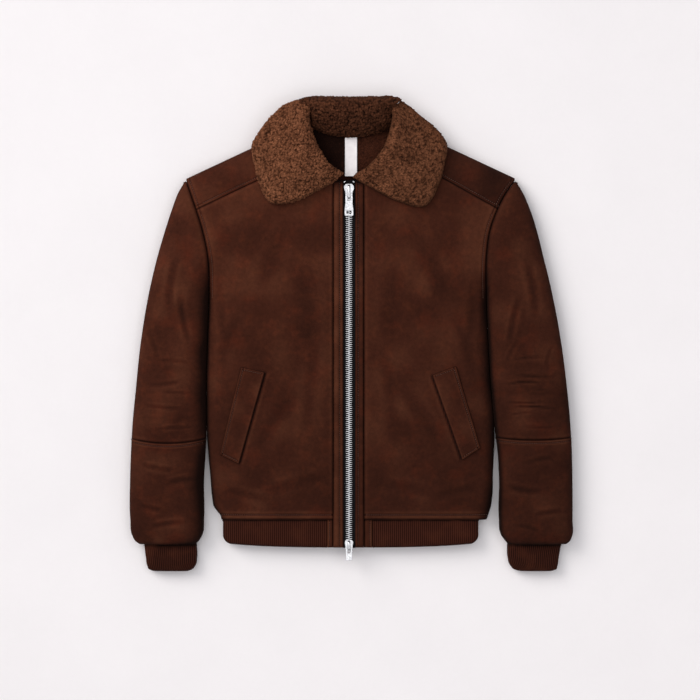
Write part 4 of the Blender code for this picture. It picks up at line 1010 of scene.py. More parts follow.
def yoke_face(side, x, y):
    """A yoke's face and tone, with its seam's second stitched line."""
    neck = polyline(YOKE_NECK[side], 0, 1, y)
    from_side = SIGN[side] * (body_edge(side)(y) - x)
    from_seam = y - polyline(YOKE_SEAM[side], 0, 1, x)
    thick = crown(
        BODY_WALL,
        (SIGN[side] * (x - neck), 10.0, 0.2),
        (from_side, 16.0, 0.18),
        (from_seam, 12.0, 0.12),
        (shoulder(x) - y, 34.0, 0.86),
    )
    height, tone = lines_over((
        (from_seam, 0.0, 1.4, -0.3, -0.7, 1.0),
        (from_seam, 2.8, 1.5, 0.45, 0.7, 1.0),
        (from_seam, YOKE_LINE, 0.9, -0.6, -0.9, 1.0),
        (from_side, 0.0, 1.8, 0.0, -1.0, 1.0),
        (from_side, 2.9, 1.5, 0.5, 0.7, 1.0),
        (from_side, SIDE_LINE, 0.9, -0.6, -1.1, 1.0),
        (from_side, 9.0, 3.0, 0.3, 0.4, 1.0),
    ))
    quiet = ramp(from_seam, 0.0, 14.0) * ramp(shoulder(x) - y, 0.0, 24.0)
    face = BODY_PLANE + SEAM + thick + height + quiet * hide_ground(x, y, 31)
    # Painted shade: both yokes darker all over and the right one more, away from the light; the lines' tone
    # paints highlights on the ridges
    return face, tone + 0.35 * rolling(x, y, 38.0, 22) - 0.35 - 0.25 * SIGN[side]


def build_fronts():
    """Left and right front and the shoulder yokes: crowned faces over the body's back layer."""
    for side in SIDES:
        inner = PLACKET[side] + SIGN[side] * SEAM
        columns = graded(200.0, (0.0, 200.0), 0.9, 2.7, 24.0)
        rows = graded(520.0, (0.0, 12.0, 520.0), 0.9, 2.9, 22.0)
        x, y = spread(lambda y: np.full_like(y, inner), body_edge(side),
                      lambda x: np.full_like(x, HEM_TOP_Y), lambda x: front_end(side)(x) - SEAM,
                      columns, rows)
        face, tone = front_face(side, x, y)
        cloth("front_shell_" + side, x, y, face, BODY_PLANE + SEAM, suede(), ("front_" + side,),
              tone=tone, turn=12.0)

        columns = graded(190.0, (0.0, 190.0), 0.8, 3.2, 24.0)
        rows = graded(75.0, (0.0, 6.0, 75.0), 0.8, 3.0, 14.0)
        x, y = spread(lambda y: polyline(YOKE_NECK[side], 0, 1, y), body_edge(side),
                      lambda x: polyline(YOKE_SEAM[side], 0, 1, x) + SEAM, shoulder, columns, rows)
        face, tone = yoke_face(side, x, y)
        cloth("yoke_shell_" + side, x, y, face, BODY_PLANE + SEAM, suede(), ("yoke_" + side,),
              tone=tone, turn=12.0)


def build_back():
    """Back panel, which the jacket rests on: flat below and rounded up at its edges."""
    columns = graded(470.0, (0.0, 470.0), 1.5, 9.0, 34.0)
    rows = graded(620.0, (0.0, 620.0), 1.5, 9.0, 34.0)
    top = lambda x: np.minimum(shoulder(x), neck_seam(x))
    x, y = spread(body_edge("left"), body_edge("right"), lambda x: np.full_like(x, HEM_TOP_Y), top,
                  columns, rows)
    nearest = np.minimum(np.minimum(x - body_edge("left")(y), body_edge("right")(y) - x), top(x) - y)
    face = UNDER_LIFT * (1.0 - rise(nearest, UNDER_ROUND))
    tone = 0.35 * rolling(x, y, 38.0, 23) + 0.4 * bell(nearest, 0.0, 4.0)
    cloth("back_shell", x, y, face, BODY_PLANE, suede(), ("back",), down=True, tone=tone,
          turn=30.0)


def tape_edge(side):
    """Where a placket's raised strip ends beside its tape."""
    return TAPE_LEFT - SEAM if side == "left" else TAPE_RIGHT + SEAM


def build_plackets():
    """Suede strips beside the zip: a doubled edge with a stitched groove, then a low step under the tape."""
    step_z = TAPE_TOP_Z - TAPE_WALL - SEAM
    profile = ((0.0, 16.4), (0.04, 18.2), (0.1, 19.6), (0.26, 20.7), (0.42, 20.8), (0.56, 20.3), (0.63, 19.3),
               (0.66, 18.8), (0.69, 19.2), (0.78, 20.2), (0.88, 19.9), (0.95, 18.9), (1.0, 16.6))
    rows = graded(ZIP_TOP_Y - HEM_LOW_Y, (0.0, ZIP_TOP_Y - HEM_LOW_Y), 0.9, 3.6, 12.0)
    places = graded(16.2, (0.0, 10.7, 16.2), 0.36, 0.8, 2.5)
    for side in SIDES:
        outer = PLACKET[side]
        toward = -SIGN[side]
        edge = tape_edge(side)
        centre = ZIP_X + toward * -SEAM / 2
        across = np.concatenate([outer + (edge - outer) * places, [edge + toward * 0.05, centre]])
        x, y = np.meshgrid(across, HEM_LOW_Y + (ZIP_TOP_Y - HEM_LOW_Y) * rows)
        share = np.clip((x - outer) / (edge - outer), 0.0, 1.0)
        thick = follow(profile, 0, 1, share)
        wander = 0.25 * rolling(y, x * 0.0, 26.0, 41) + 0.12 * rolling(y, x * 0.0, 8.0, 42)
        # The tone darkens the stitched groove and the strip's edges, and paints highlights on its two raised
        # ridges and shade at its top, under the collar
        height, tone = lines_over((
            (share, PLACKET_LINE, 0.035, -0.3, -1.0, 1.0),
            (share, 0.3, 0.16, 0.15, 0.65, 1.0),
            (share, 0.82, 0.09, 0.1, 0.65, 1.0),
            (share, 0.0, 0.05, 0.0, -1.1, 1.0),
            (y - HEM_TOP_Y, 0.0, 1.6, -0.25, -0.4, 1.0),
            (ZIP_TOP_Y - y, 0.0, 7.0, 0.0, -2.2, 1.0),
        ))
        ends = rise(y - HEM_LOW_Y + 0.4, 5.0) * rise(ZIP_TOP_Y - y + 0.4, 5.0)
        face = BODY_PLANE + SEAM + np.maximum(8.0, (thick + height + wander) * ends)
        face[:, -2:] = step_z
        # Painted shade on the low step under the tape
        tone[:, -2:] = -1.3
        # Painted light: the left strip paler and the right one darker, away from the light
        cloth("placket_shell_" + side, x, y, face, BODY_PLANE + SEAM, suede(), ("placket_" + side,),
              tone=tone + 0.3 * rolling(x, y, 30.0, 43) - 0.3 * SIGN[side],
              wall=1.4 * MM, turn=18.0)


def welt_face(side, u, v):
    """Points, face, layer below and tone of a pocket welt at shares across and along it."""
    corner = WELTS[side]
    x, y = [
        (corner["low_in"][k] * (1 - u) + corner["low_out"][k] * u) * (1 - v)
        + (corner["top_in"][k] * (1 - u) + corner["top_out"][k] * u) * v
        for k in (0, 1)
    ]
    across = np.minimum(u, 1 - u) * WELT_WIDE
    outer = (1 - u) * WELT_WIDE
    along = np.minimum(v, 1 - v) * WELT_LONG
    edge = np.minimum(across, along)
    under = front_top(side, x, y) + 2 * SEAM
    # The tone darkens the edge and the stitched lines and paints highlights on the raised ridges beside them
    height, tone = lines_over((
        (edge, 0.0, 0.9, 0.0, -1.0, 1.0),
        (edge, 1.7, 1.1, 0.35, 0.9, 1.0),
        (outer, WELT_LINE, 0.7, -0.8, -1.3, 1.0),
        (along, WELT_LINE, 0.7, -0.7, -1.1, ramp(across, 2.0, 4.5)),
        (outer, 5.8, 1.1, 0.45, 0.75, 1.0),
        (u * WELT_WIDE, 4.4, 2.2, 0.1, 0.3, 1.0),
    ))
    run = v * WELT_LONG
    wander = 0.35 * rolling(run, u * WELT_WIDE, 24.0, 51) + 0.15 * rolling(run, u * WELT_WIDE, 8.0, 52)
    face = under + crown(WELT_WALL + 0.3, (edge, 2.6, 0.7)) + height + wander * ramp(edge, 0.0, 5.0)
    return x, y, face, under, tone + 0.3 * rolling(x, y, 30.0, 53)


def build_welts():
    """Pocket welts: a raised band on the front's own face, with a stitched line inside its edges."""
    for side in SIDES:
        u, v = np.meshgrid(graded(WELT_WIDE, (0.0, WELT_WIDE), 0.4, 1.4, 6.5),
                           graded(WELT_LONG, (0.0, WELT_LONG), 0.5, 2.0, 10.0))
        x, y, face, under, tone = welt_face(side, u, v)
        cloth("pocket_welt_shell_" + side, x, y, face, under, suede(), ("pocket_welt_" + side,),
              tone=tone, wall=1.0 * MM)


# Sleeves

def elbow(side, x):
    """Seam across the forearm, lower in the middle of the sleeve."""
    edge = ELBOW[side]["edge"]
    inner = sleeve_edge(side, "inner")(edge)
    outer = sleeve_edge(side, "outer")(edge)
    t = np.clip((x - inner) / (outer - inner), 0.0, 1.0)
    return edge - ELBOW[side]["dip"] * 4.0 * t * (1.0 - t)


def sleeve_face(side, x, y, seam_top, seam_low, forearm):
    """Face and tone of one stretch of a sleeve: rounded off at both edges, with its folds and creases, the
    ridged seam across the forearm and, on the forearm, puckers where it is gathered into the cuff. The tone
    paints highlights on the seam's ridges and the puckers, and shade in the creases, along both edges where
    the sleeve rounds down, wider on faces turned to the right, and at the forearm's end over the cuff."""
    inner = sleeve_edge(side, "inner")(y)
    outer = sleeve_edge(side, "outer")(y)
    armhole = ramp(y, 50.0, 130.0)
    from_inner = np.abs(x - inner)
    from_outer = np.abs(x - outer)
    thick = crown(
        SLEEVE_WALL,
        (from_inner, 46.0 - 26.0 * armhole, 0.86 - 0.44 * armhole),
        (from_outer, 50.0, 0.86),
        (seam_top - y, 10.0, 0.10 if forearm else 0.0),
        (y - seam_low, 26.0 if forearm else 10.0, 0.5 if forearm else 0.10),
    )
    for fold in FOLDS:
        row = dict(zip(FOLD_COLUMNS, fold))
        if row["side"] == side:
            off = y - row["y"] - row["slope"] * (x - (inner + outer) / 2)
            thick = thick - row["depth"] * bell(off, 0.0, 0.6 * row["half"]) * rise(from_outer, 40.0)
    from_seam = seam_top - y if forearm else y - seam_low
    if forearm:
        gather = rolling(x, y * 0.25, 11.0, 61) + 0.5 * rolling(x, y * 0.25, 5.0, 62)
        end = y - seam_low
        height, tone = lines_over((
            (from_seam, 0.0, 0.9, -0.4, -1.3, 1.0),
            (from_seam, 2.5, 1.2, 0.8, 1.4, 1.0),
            (from_seam, ELBOW_LINE, 0.8, -0.6, -1.5, 1.0),
            (from_seam, 7.2, 1.3, 0.4, 1.2, 1.0),
            (from_inner, 0.0, PAINTED_SHADE_INNER[side], 0.0, -1.9, 1.0),
            (from_outer, 0.0, PAINTED_SHADE_OUTER[side], 0.0, -0.9, 1.0),
            (end, 5.0, 6.0, 1.9 * gather, 0.4 * gather, 1.0),
            (end, 0.0, 3.0, 0.0, -0.8, 1.0),
        ))
    else:
        height, tone = lines_over((
            (from_seam, 0.0, 1.2, -0.4, -1.2, 1.0),
            (from_seam, 4.0, 2.2, 0.4, 0.5, 1.0),
            (from_inner, 0.0, 1.6, 0.0, -1.0, armhole),
            (from_inner, 0.0, PAINTED_SHADE_INNER[side], 0.0, -1.9, 1.0 - armhole),
            (from_outer, 0.0, PAINTED_SHADE_OUTER[side], 0.0, -0.9, 1.0),
            (from_inner, 5.0, 3.0, 0.3, 0.35, armhole),
        ))
    quiet = ramp(from_seam, 0.0, 16.0) * ramp(np.minimum(from_inner, from_outer), 0.0, 10.0)
    creases = creased("sleeve_" + side, x, y)
    face = SLEEVE_PLANE + SEAM + thick + height + quiet * hide_ground(x, y, 65)
    face = face - ramp(from_seam, 0.0, 8.0) * creases
    tone = tone + 0.35 * rolling(x, y, 34.0, 66) - 0.55 * creases
    return face, tone


def build_sleeves():
    """Upper sleeves and forearms, each a front shell and a rounded under shell."""
    columns = graded(120.0, (0.0, 120.0), 0.9, 2.8, 22.0)
    for side in SIDES:
        edges = [sleeve_edge(side, where) for where in ("inner", "outer")]
        top_y = SLEEVE_ROWS[-1][0]
        middle = lambda x: elbow(side, x)
        stretches = (
            ("upper_sleeve", middle, lambda x: np.full_like(x, top_y), False,
             graded(410.0, (0.0, 410.0), 0.8, 3.0, 14.0)),
            ("forearm", lambda x: np.full_like(x, FOREARM_END), lambda x: middle(x) - SEAM, True,
             graded(168.0, (0.0, 158.0, 168.0), 0.7, 2.8, 12.0)),
        )
        for name, low, high, forearm, rows in stretches:
            x, y = spread(*edges, low, high, columns, rows)
            face, tone = sleeve_face(side, x, y, high(x), low(x), forearm)
            cloth(f"{name}_shell_front_{side}", x, y, face, SLEEVE_PLANE + SEAM, suede(),
                  (f"{name}_front_{side}",), tone=tone, turn=14.0)
            coarse = graded(120.0, (0.0, 120.0), 1.2, 6.0, 30.0)
            x, y = spread(*edges, low, high, coarse, rows[::3] if len(rows) % 3 == 1 else
                          np.append(rows[::3], 1.0))
            nearest = np.minimum(np.abs(x - edges[0](y)), np.abs(x - edges[1](y)))
            under = 1.25 * UNDER_LIFT * (1.0 - rise(nearest, 1.3 * UNDER_ROUND))
            if forearm:
                under = np.maximum(under, 4.0 * (1.0 - rise(y - FOREARM_END, 8.0)))
            from_seam = high(x) - y if forearm else y - low(x)
            tone = 0.35 * rolling(x, y, 34.0, 67) - 1.1 * bell(from_seam, 0.0, 1.6)
            cloth(f"{name}_shell_back_{side}", x, y, under, SLEEVE_PLANE, suede(),
                  (f"{name}_back_{side}",), down=True, tone=tone, turn=26.0)


# Rib knit

def hem_low(x):
    """Lower edge of the hem by x: a slow curve with rounded corners."""
    middle = (HEM_SIDE["left"] + HEM_SIDE["right"]) / 2
    half = (HEM_SIDE["right"] - HEM_SIDE["left"]) / 2
    away = np.abs(x - middle)
    return HEM_LOW_Y + HEM_SAG * (away / half) ** 3 + HEM_CORNER * (1.0 - rise(half - away + 0.3, HEM_CORNER))


def ribbed(ribs, per_rib=6):
    """Places from 0 to 1 across a band of ribs, the height of each rib's round top, and the count there."""
    places = np.linspace(0.0, 1.0, ribs * per_rib + 1)
    number = places * ribs
    return places, np.abs(np.sin(number * math.pi)) ** 0.8, number


def knit():
    """The rib knit's material."""
    return made_once("wool_rib_knit", rib_knit)


def rib_count(width):
    """Ribs across a band of that width."""
    return int(width / (bpy.context.scene.jacket_sizes.rib / MM))


def build_ribs():
    """Rib-knit hem and cuffs: a round-topped rib at each pitch, softly pulled in at the seam above."""
    sizes = bpy.context.scene.jacket_sizes
    stitch = sizes.stitch_knit / MM
    rows = graded(45.0, (0.0, 45.0), 0.8, 2.8, 8.0)
    for side in SIDES:
        inner = TAB[side] + SIGN[side] * SEAM
        outer = HEM_SIDE[side]
        places, height, number = ribbed(rib_count(abs(outer - inner)))
        u, v = np.meshgrid(places, rows)
        x = inner + (outer - inner) * u
        y = hem_low(x) * (1 - v) + (HEM_TOP_Y - SEAM) * v
        from_low = y - hem_low(x)
        from_top = HEM_TOP_Y - y
        thick = crown(HEM_WALL, (np.abs(outer - x), 22.0, 0.75), (from_low, 6.0, 0.45), (from_top, 6.0, 0.12))
        deep = RIB_DEPTH * ramp(from_top, 0.0, 3.0) * ramp(from_low, -2.0, 3.0)
        wander = 0.5 * rolling(x, y * 0.4, 26.0, 71) + 0.25 * rolling(x, y * 0.4, 9.0, 72)
        face = BODY_PLANE + SEAM + thick - deep * (1.0 - height) + wander
        # Painted shade: the ribs' furrows, a band under the seam above, and the lower edge where the band
        # rounds under
        tone = np.broadcast_to(height, x.shape) - 0.8 * bell(from_top, 0.0, 2.2)
        tone = tone - 0.3 * bell(from_low, 0.0, 3.0)
        cloth("hem_rib_shell_" + side, x, y, face, BODY_PLANE + SEAM, knit(),
              ("hem_rib_" + side,),
              tone=tone, uv=np.stack([np.broadcast_to(number, x.shape), from_low / stitch], axis=-1),
              turn=16.0)

    places, height, number = ribbed(rib_count(HEM_SIDE["right"] - HEM_SIDE["left"]), 4)
    u, v = np.meshgrid(places, graded(45.0, (0.0, 45.0), 1.5, 5.0, 10.0))
    x = HEM_SIDE["left"] + (HEM_SIDE["right"] - HEM_SIDE["left"]) * u
    y = hem_low(x) * (1 - v) + (HEM_TOP_Y - SEAM) * v
    nearest = np.minimum(np.minimum(x - HEM_SIDE["left"], HEM_SIDE["right"] - x), y - hem_low(x))
    lift = UNDER_LIFT * (1.0 - rise(nearest, UNDER_ROUND))
    face = lift + 0.6 * RIB_DEPTH * (1.0 - height) * ramp(HEM_TOP_Y - y, 0.0, 3.0)
    cloth("hem_rib_shell_back", x, y, face, BODY_PLANE, knit(), ("hem_rib_back",), down=True,
          tone=np.broadcast_to(height, x.shape) * 1.0, turn=16.0,
          uv=np.stack([np.broadcast_to(number, x.shape), y / stitch], axis=-1))

    rows = graded(43.6, (0.0, 43.6), 0.8, 2.8, 8.0)
    for side in SIDES:
        inner = sleeve_edge(side, "inner", CUFF_ROWS)
        outer = sleeve_edge(side, "outer", CUFF_ROWS)
        ribs = rib_count(float(abs(outer(CUFF_TOP) - inner(CUFF_TOP))))
        for layer in ("front", "back"):
            places, height, number = ribbed(ribs, 6 if layer == "front" else 4)
            u, y = np.meshgrid(places, CUFF_END + (CUFF_TOP - CUFF_END) * rows)
            x = inner(y) * (1 - u) + outer(y) * u
            nearest = np.minimum(np.abs(x - inner(y)), np.abs(x - outer(y)))
            end = y - CUFF_END
            from_top = CUFF_TOP - y
            deep = RIB_DEPTH * ramp(from_top, -1.0, 3.0) * ramp(end, -2.0, 3.0)
            wander = 0.5 * rolling(x, y * 0.4, 22.0, 73) + 0.2 * rolling(x, y * 0.4, 8.0, 74)
            # Painted shade: the ribs' furrows and a band under the forearm's end; the whole cuff is also a
            # little darker
            tone = np.broadcast_to(height, x.shape) - 0.9 * bell(from_top, 0.0, 3.0) - 0.2
            if layer == "front":
                plane = CUFF_PLANE + SEAM
                face = plane + crown(CUFF_WALL, (nearest, 18.0, 0.75), (end, 6.0, 0.45))
                face = face - deep * (1.0 - height) + wander
            else:
                plane = CUFF_PLANE
                face = 0.6 * UNDER_LIFT * (1.0 - rise(np.minimum(nearest, end), 0.8 * UNDER_ROUND))
                face = face + 0.6 * deep * (1.0 - height)
            cloth(f"cuff_shell_{layer}_{side}", x, y, face, plane, knit(),
                  (f"cuff_{layer}_{side}",), down=layer == "back", tone=tone, turn=10.0,
                  uv=np.stack([np.broadcast_to(number, x.shape), end / stitch], axis=-1))


def build_tabs():
    """Suede tabs that close the rib hem beside the zip, with a stitched edge."""
    columns = graded(14.0, (0.0, 14.0), 0.35, 0.9, 5.0)
    rows = graded(44.0, (0.0, 44.0), 0.5, 1.6, 8.0)
    for side in SIDES:
        strip = PLACKET[side] + SIGN[side] * SEAM
        width = abs(TAB[side] - strip)
        u, v = np.meshgrid(columns, rows)
        x = strip + (TAB[side] - strip) * u
        y = (HEM_LOW_Y + 0.6) * (1 - v) + (HEM_TOP_Y - SEAM) * v
        # The tone darkens the seams and the stitched line and paints a strong highlight on the ridge beside
        # the tab's outer edge
        height, tone = lines_over((
            (u * width, 0.0, 1.2, -0.2, -1.1, 1.0),
            (u * width, 3.4, 1.6, 0.2, 0.4, 1.0),
            ((1 - u) * width, 0.0, 0.9, -0.1, -0.8, 1.0),
            ((1 - u) * width, 2.0, 1.3, 0.6, 2.6, 1.0),
            ((1 - u) * width, TAB_LINE, 0.8, -0.6, -1.1, 1.0),
            (HEM_TOP_Y - y, 0.0, 1.6, -0.5, -1.1, 1.0),
        ))
        thick = crown(HEM_WALL + 2.5, (u * width, 2.0, 0.15), ((1 - u) * width, 3.5, 0.25),
                      (y - HEM_LOW_Y, 5.0, 0.4))
        face = BODY_PLANE + SEAM + thick + height + 0.3 * rolling(x, y, 12.0, 75)
        cloth("hem_tab_shell_" + side, x, y, face, BODY_PLANE + SEAM, suede(), ("hem_tab_" + side,),
              tone=tone, wall=1.4 * MM, turn=20.0)


# Collar

def fleece_over(grid, wrapped, size, depth, sink, shown, seed):
    """Points of a grid with curled tufts raised on them along their normals, and the tufts' heights. Large
    curls carry smaller ones, and shown is 0 where the wool is left off."""
    normals = surface_normals(grid, wrapped)
    flat = grid.reshape(-1, 3)
    warp = np.stack([rolling(flat[:, 1], flat[:, 2], 5.0, seed + 5),
                     rolling(flat[:, 0], flat[:, 2], 5.0, seed + 6),
                     rolling(flat[:, 0], flat[:, 1], 5.0, seed + 7)], axis=1)
    large = curls(flat + 1.7 * warp, size, seed).reshape(grid.shape[:2])
    small = curls(flat + 0.8 * warp, 0.46 * size, seed + 1).reshape(grid.shape[:2])
    height = 0.6 * large + 0.4 * small
    clumps = 0.5 + 0.5 * rolling(flat[:, 0], flat[:, 1], 11.0, seed + 2).reshape(grid.shape[:2])
    raised = (height * (0.75 + 0.5 * clumps) * depth - sink) * shown
    return grid + normals * raised[..., None], height


def cut_of(grid, wrapped):
    """Flat width, length and area in metres of the hide that a grid's form is made from, without its pile:
    its longest row, its longest column and its area. A wrapped form is two layers, so it counts half."""
    closed = np.concatenate([grid, grid[:, :1]], axis=1) if wrapped else grid
    across = np.diff(closed, axis=1)
    along = np.diff(closed, axis=0)
    layers = 2 if wrapped else 1
    width = np.linalg.norm(across, axis=2).sum(axis=1).max() / layers
    length = np.linalg.norm(along, axis=2).sum(axis=0).max()
    area = np.linalg.norm(np.cross(across[:-1], along[:, :-1]), axis=2).sum() / layers
    return float(width * MM), float(length * MM), cut_area(area, width, length) * MM * MM


def leaf_grid(side, count_along, count_across):
    """Rings round a collar leaf, one for each place along it: over its rolled upper face, down its outer
    edge, back under it, down and round the stand inside the neck, and up its inner edge."""
    numbered = [(k,) + row for k, row in enumerate(LEAVES[side])]
    coarse = np.linspace(0.0, len(LEAVES[side]) - 1.0, 400)
    inner = np.stack([follow(numbered, 0, k, coarse) for k in (1, 2)], axis=1)
    outer = np.stack([follow(numbered, 0, k, coarse) for k in (3, 4)], axis=1)
    length = travelled(*(0.35 * inner + 0.65 * outer).T)
    place = np.interp(np.linspace(0.0, length[-1], count_along), length, coarse)
    inner_x, inner_y, outer_x, outer_y, roll = [follow(numbered, 0, k, place)[:, None] for k in range(1, 6)]
    place = place[:, None]
    width = np.hypot(outer_x - inner_x, outer_y - inner_y)
    drawn_in = 3.0 * (1.0 - ramp(place, 0.0, 0.6)) / width
    outer_x = outer_x + (inner_x - outer_x) * drawn_in
    outer_y = outer_y + (inner_y - outer_y) * drawn_in
    width = np.hypot(outer_x - inner_x, outer_y - inner_y)
    leg = np.clip(LEG / width, 0.0, 0.8)
    lowest = BODY_PLANE + 2 * SEAM
    low_z = lowest + (COLLAR_PLANE - 0.3 - BODY_PLANE - 2 * SEAM) * ramp(place, LEG_END, LEG_END + 0.4)

    def thick_at(u):
        body = COLLAR_WALL + (roll - COLLAR_WALL) * (1.0 - ramp(u, 0.1, 0.85))
        tip = (len(LEAVES[side]) - 1.0 - place) * 14.0
        return crown(body, (u * width, 16.0, 0.6), ((1 - u) * width, 16.0, 0.7), (tip + 1.0, 10.0, 0.35))

    over = np.linspace(0.0, 1.0, count_across)[None, :] + 0.0 * place
    side_share = np.linspace(0.0, 1.0, 8)[None, 1:] + 0.0 * place
    back_under = np.linspace(0.0, 1.0, 7)[None, 1:] + 0.0 * place
    leg_share = np.linspace(0.0, 1.0, 4)[None, 1:] + 0.0 * place
    up_share = np.linspace(0.0, 1.0, 18)[None, :-1] + 0.0 * place
    edge_z = COLLAR_PLANE + thick_at(np.ones_like(place))
    start_z = COLLAR_PLANE + thick_at(np.zeros_like(place))
    us = np.concatenate([over, np.ones_like(side_share), 1.0 - (1.0 - leg) * back_under,
                         leg + 0.0 * leg_share, np.zeros_like(up_share)], axis=1)
    zs = np.concatenate([COLLAR_PLANE + thick_at(over), edge_z + (COLLAR_PLANE - edge_z) * side_share,
                         COLLAR_PLANE + 0.0 * back_under, COLLAR_PLANE + (low_z - COLLAR_PLANE) * leg_share,
                         low_z + (start_z - low_z) * up_share], axis=1)
    grid = np.stack([inner_x * (1 - us) + outer_x * us, inner_y * (1 - us) + outer_y * us, zs], axis=-1)
    run_on = 3.4 * (1.0 - ramp(place, 0.0, 0.35)) * (1.0 - 0.9 * us)
    grid = grid + run_on[..., None] * np.array([-0.68 * SIGN[side], 0.73, 0.0])
    under = np.zeros(us.shape)
    under[:, :count_across] = 1.0
    edge = slice(count_across, count_across + 7)
    under[:, edge] = ramp(zs[:, edge] - COLLAR_PLANE, 0.0, 2.5)
    under[:, -17:] = 0.55
    return grid, under


def build_leaves():
    """Collar leaves: curled fleece over a rolled leaf whose stand goes down inside the neck."""
    sizes = bpy.context.scene.jacket_sizes
    fleece = made_once("shearling_fleece", collar_fleece)
    for side in SIDES:
        grid, shown = leaf_grid(side, 216, 104)
        seed = 81 if side == "left" else 91
        points, height = fleece_over(grid, True, sizes.curl / MM, sizes.curl_height / MM, 1.0, shown, seed)
        # Painted shade: the tone follows the tufts' height, darker still where less wool shows, under the
        # leaf, inside the neck and up its inner edge
        tone = height * np.clip(shown + 0.2, 0.0, 1.0)
        rings, count = grid.shape[:2]
        middles = np.stack([points[0].mean(axis=0), points[-1].mean(axis=0)])
        faces = tube_faces(rings, count)
        up = surface_normals(grid, True)[rings // 2, 40, 2] > 0
        faces = faces if up else turned_over(faces)
        flat = np.concatenate([points.reshape(-1, 3), middles])
        tones = np.concatenate([tone.ravel(), [0.3, 0.3]])
        piece = make_piece("collar_leaf_fleece_" + side, flat, faces, fleece, tone=tones,
                           sharp=180.0)
        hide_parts("collar_leaf_" + side)
        width, length, area = cut_of(grid, True)


def rolled_under(x, y, z, steps, bulge, reach):
    """A grid carried on from its last row: down behind the collar with a slight bulge, then turned in under
    it. Returns its points and how far the wool shows on each."""
    down = np.linspace(0.0, 1.0, steps + 1)[1:, None]
    turn = np.linspace(0.0, 1.0, 9)[1:, None] * math.pi / 2
    drop_z = z[-1:] + (UNDER_LIFT - z[-1:]) * down
    x = np.concatenate([x, np.repeat(x[-1:], len(down) + len(turn), axis=0)])
    y = np.concatenate([y, y[-1:] + bulge * np.sin(down * math.pi), y[-1:] - reach * (1.0 - np.cos(turn))])
    z = np.concatenate([z, drop_z, UNDER_LIFT * (1.0 - np.sin(turn)) + 0.3 + 0.0 * x[:1]])
    shown = np.ones(z.shape)
    shown[-len(turn):] = 1.0 - np.linspace(0.2, 1.0, len(turn))[:, None]
    return x, y, z, shown


def build_collar_back():
    """Back of the collar: fleece from the neck seam up over the roll and down behind, and the part of the
    collar that is folded behind each shoulder."""
    fleece = made_once("shearling_fleece_inner", inner_fleece)
    pale = made_once("shearling_fleece", collar_fleece)
    under_leaf = lambda y: 0.2 + 2.4 * (1.0 - ramp(y, 350.0, 364.0))
    left = lambda y: follow(STAND_ROWS, 0, 1, y) - under_leaf(y)
    right = lambda y: follow(STAND_ROWS, 0, 2, y) + under_leaf(y)
    top = lambda x: STAND_TOP_Y - STAND_TOP_DIP * np.cos(x / 60.0) - 5.0 * ramp(np.abs(x), 66.0, 88.0)

    def stand_face(x, y):
        v = (y - neck_seam(x)) / (top(x) - neck_seam(x))
        slope = STAND_LOW_Z + (STAND_ROLL_Z - STAND_LOW_Z) * np.sin(np.clip(v / 0.8, 0, 1) * math.pi / 2)
        base = BODY_PLANE + SEAM
        side_distance = np.maximum(np.minimum(x - left(y), right(y) - x), 0.0)
        dip = crown(1.0, (side_distance, 14.0, 0.25 * (1.0 - ramp(y, 352.0, 366.0))))
        return base + (slope - base) * crown(dip, (top(x) - y, 17.0, 0.85), (y - neck_seam(x), 8.0, 0.3))

    step = 1.0 / 136
    width = graded(1.0, (0.0,), step, step, 1.0)
    over = graded(62.0, (0.0, 62.0), 0.9, 1.2, 10.0)
    u, v = np.meshgrid(width, over)
    x, y = settle(lambda y: left(y) * (1 - u) + right(y) * u, lambda x: neck_seam(x) + 2 * SEAM, top,
                  len(width), over)
    z = stand_face(x, y)
    lip = np.linspace(0.0, 1.0, 11)[:-1, None]
    x = np.concatenate([np.repeat(x[:1], len(lip), axis=0), x])
    y = np.concatenate([y[:1] - 1.2 * np.sin(lip * math.pi), y])
    z = np.concatenate([BODY_PLANE + 2.2 + (z[:1] - BODY_PLANE - 2.2) * lip, z])
    x, y, z, shown = rolled_under(x, y, z, 26, 1.2, UNDER_ROUND)
    narrow = 1.0 - 0.115 * (1.0 - ramp(z, 40.0, 46.0)) * ramp(y, 360.0, 372.0)
    grid = np.stack([x * narrow, y, z], axis=-1)
    fleece_wrap("collar_back_fleece", grid, shown, fleece, ("collar_stand_back", "collar_fall_back"), 101)

    for side in SIDES:
        start = FALL_START[side]
        end = FALL_OUTLINE[side][-1][0]
        places = np.linspace(0.0, 1.0, 80)
        xs = start + (end - start) * places
        outline = polyline(FALL_OUTLINE[side], 0, 1, xs)
        outline = outline + 0.6 * rolling(xs, xs * 0.0, 12.0, 115)
        low = shoulder(xs) + 2 * SEAM
        over = np.linspace(0.0, 1.0, 34)[:, None]
        y = low + (outline - low) * over
        x = xs[None, :] + 0.0 * y
        z = COLLAR_PLANE - SEAM - 1.2 - 5.0 * (1.0 - rise(outline - y, 10.0))
        x, y, z, shown = rolled_under(x, y, z, 33, 1.4, np.minimum(UNDER_ROUND, 0.8 * (outline - low)))
        shown[:len(over)] = 0.35 + 0.65 * over
        fleece_wrap("collar_fall_fleece_" + side, np.stack([x, y, z], axis=-1), shown, pale,
                    ("collar_fall_" + side,), 111)


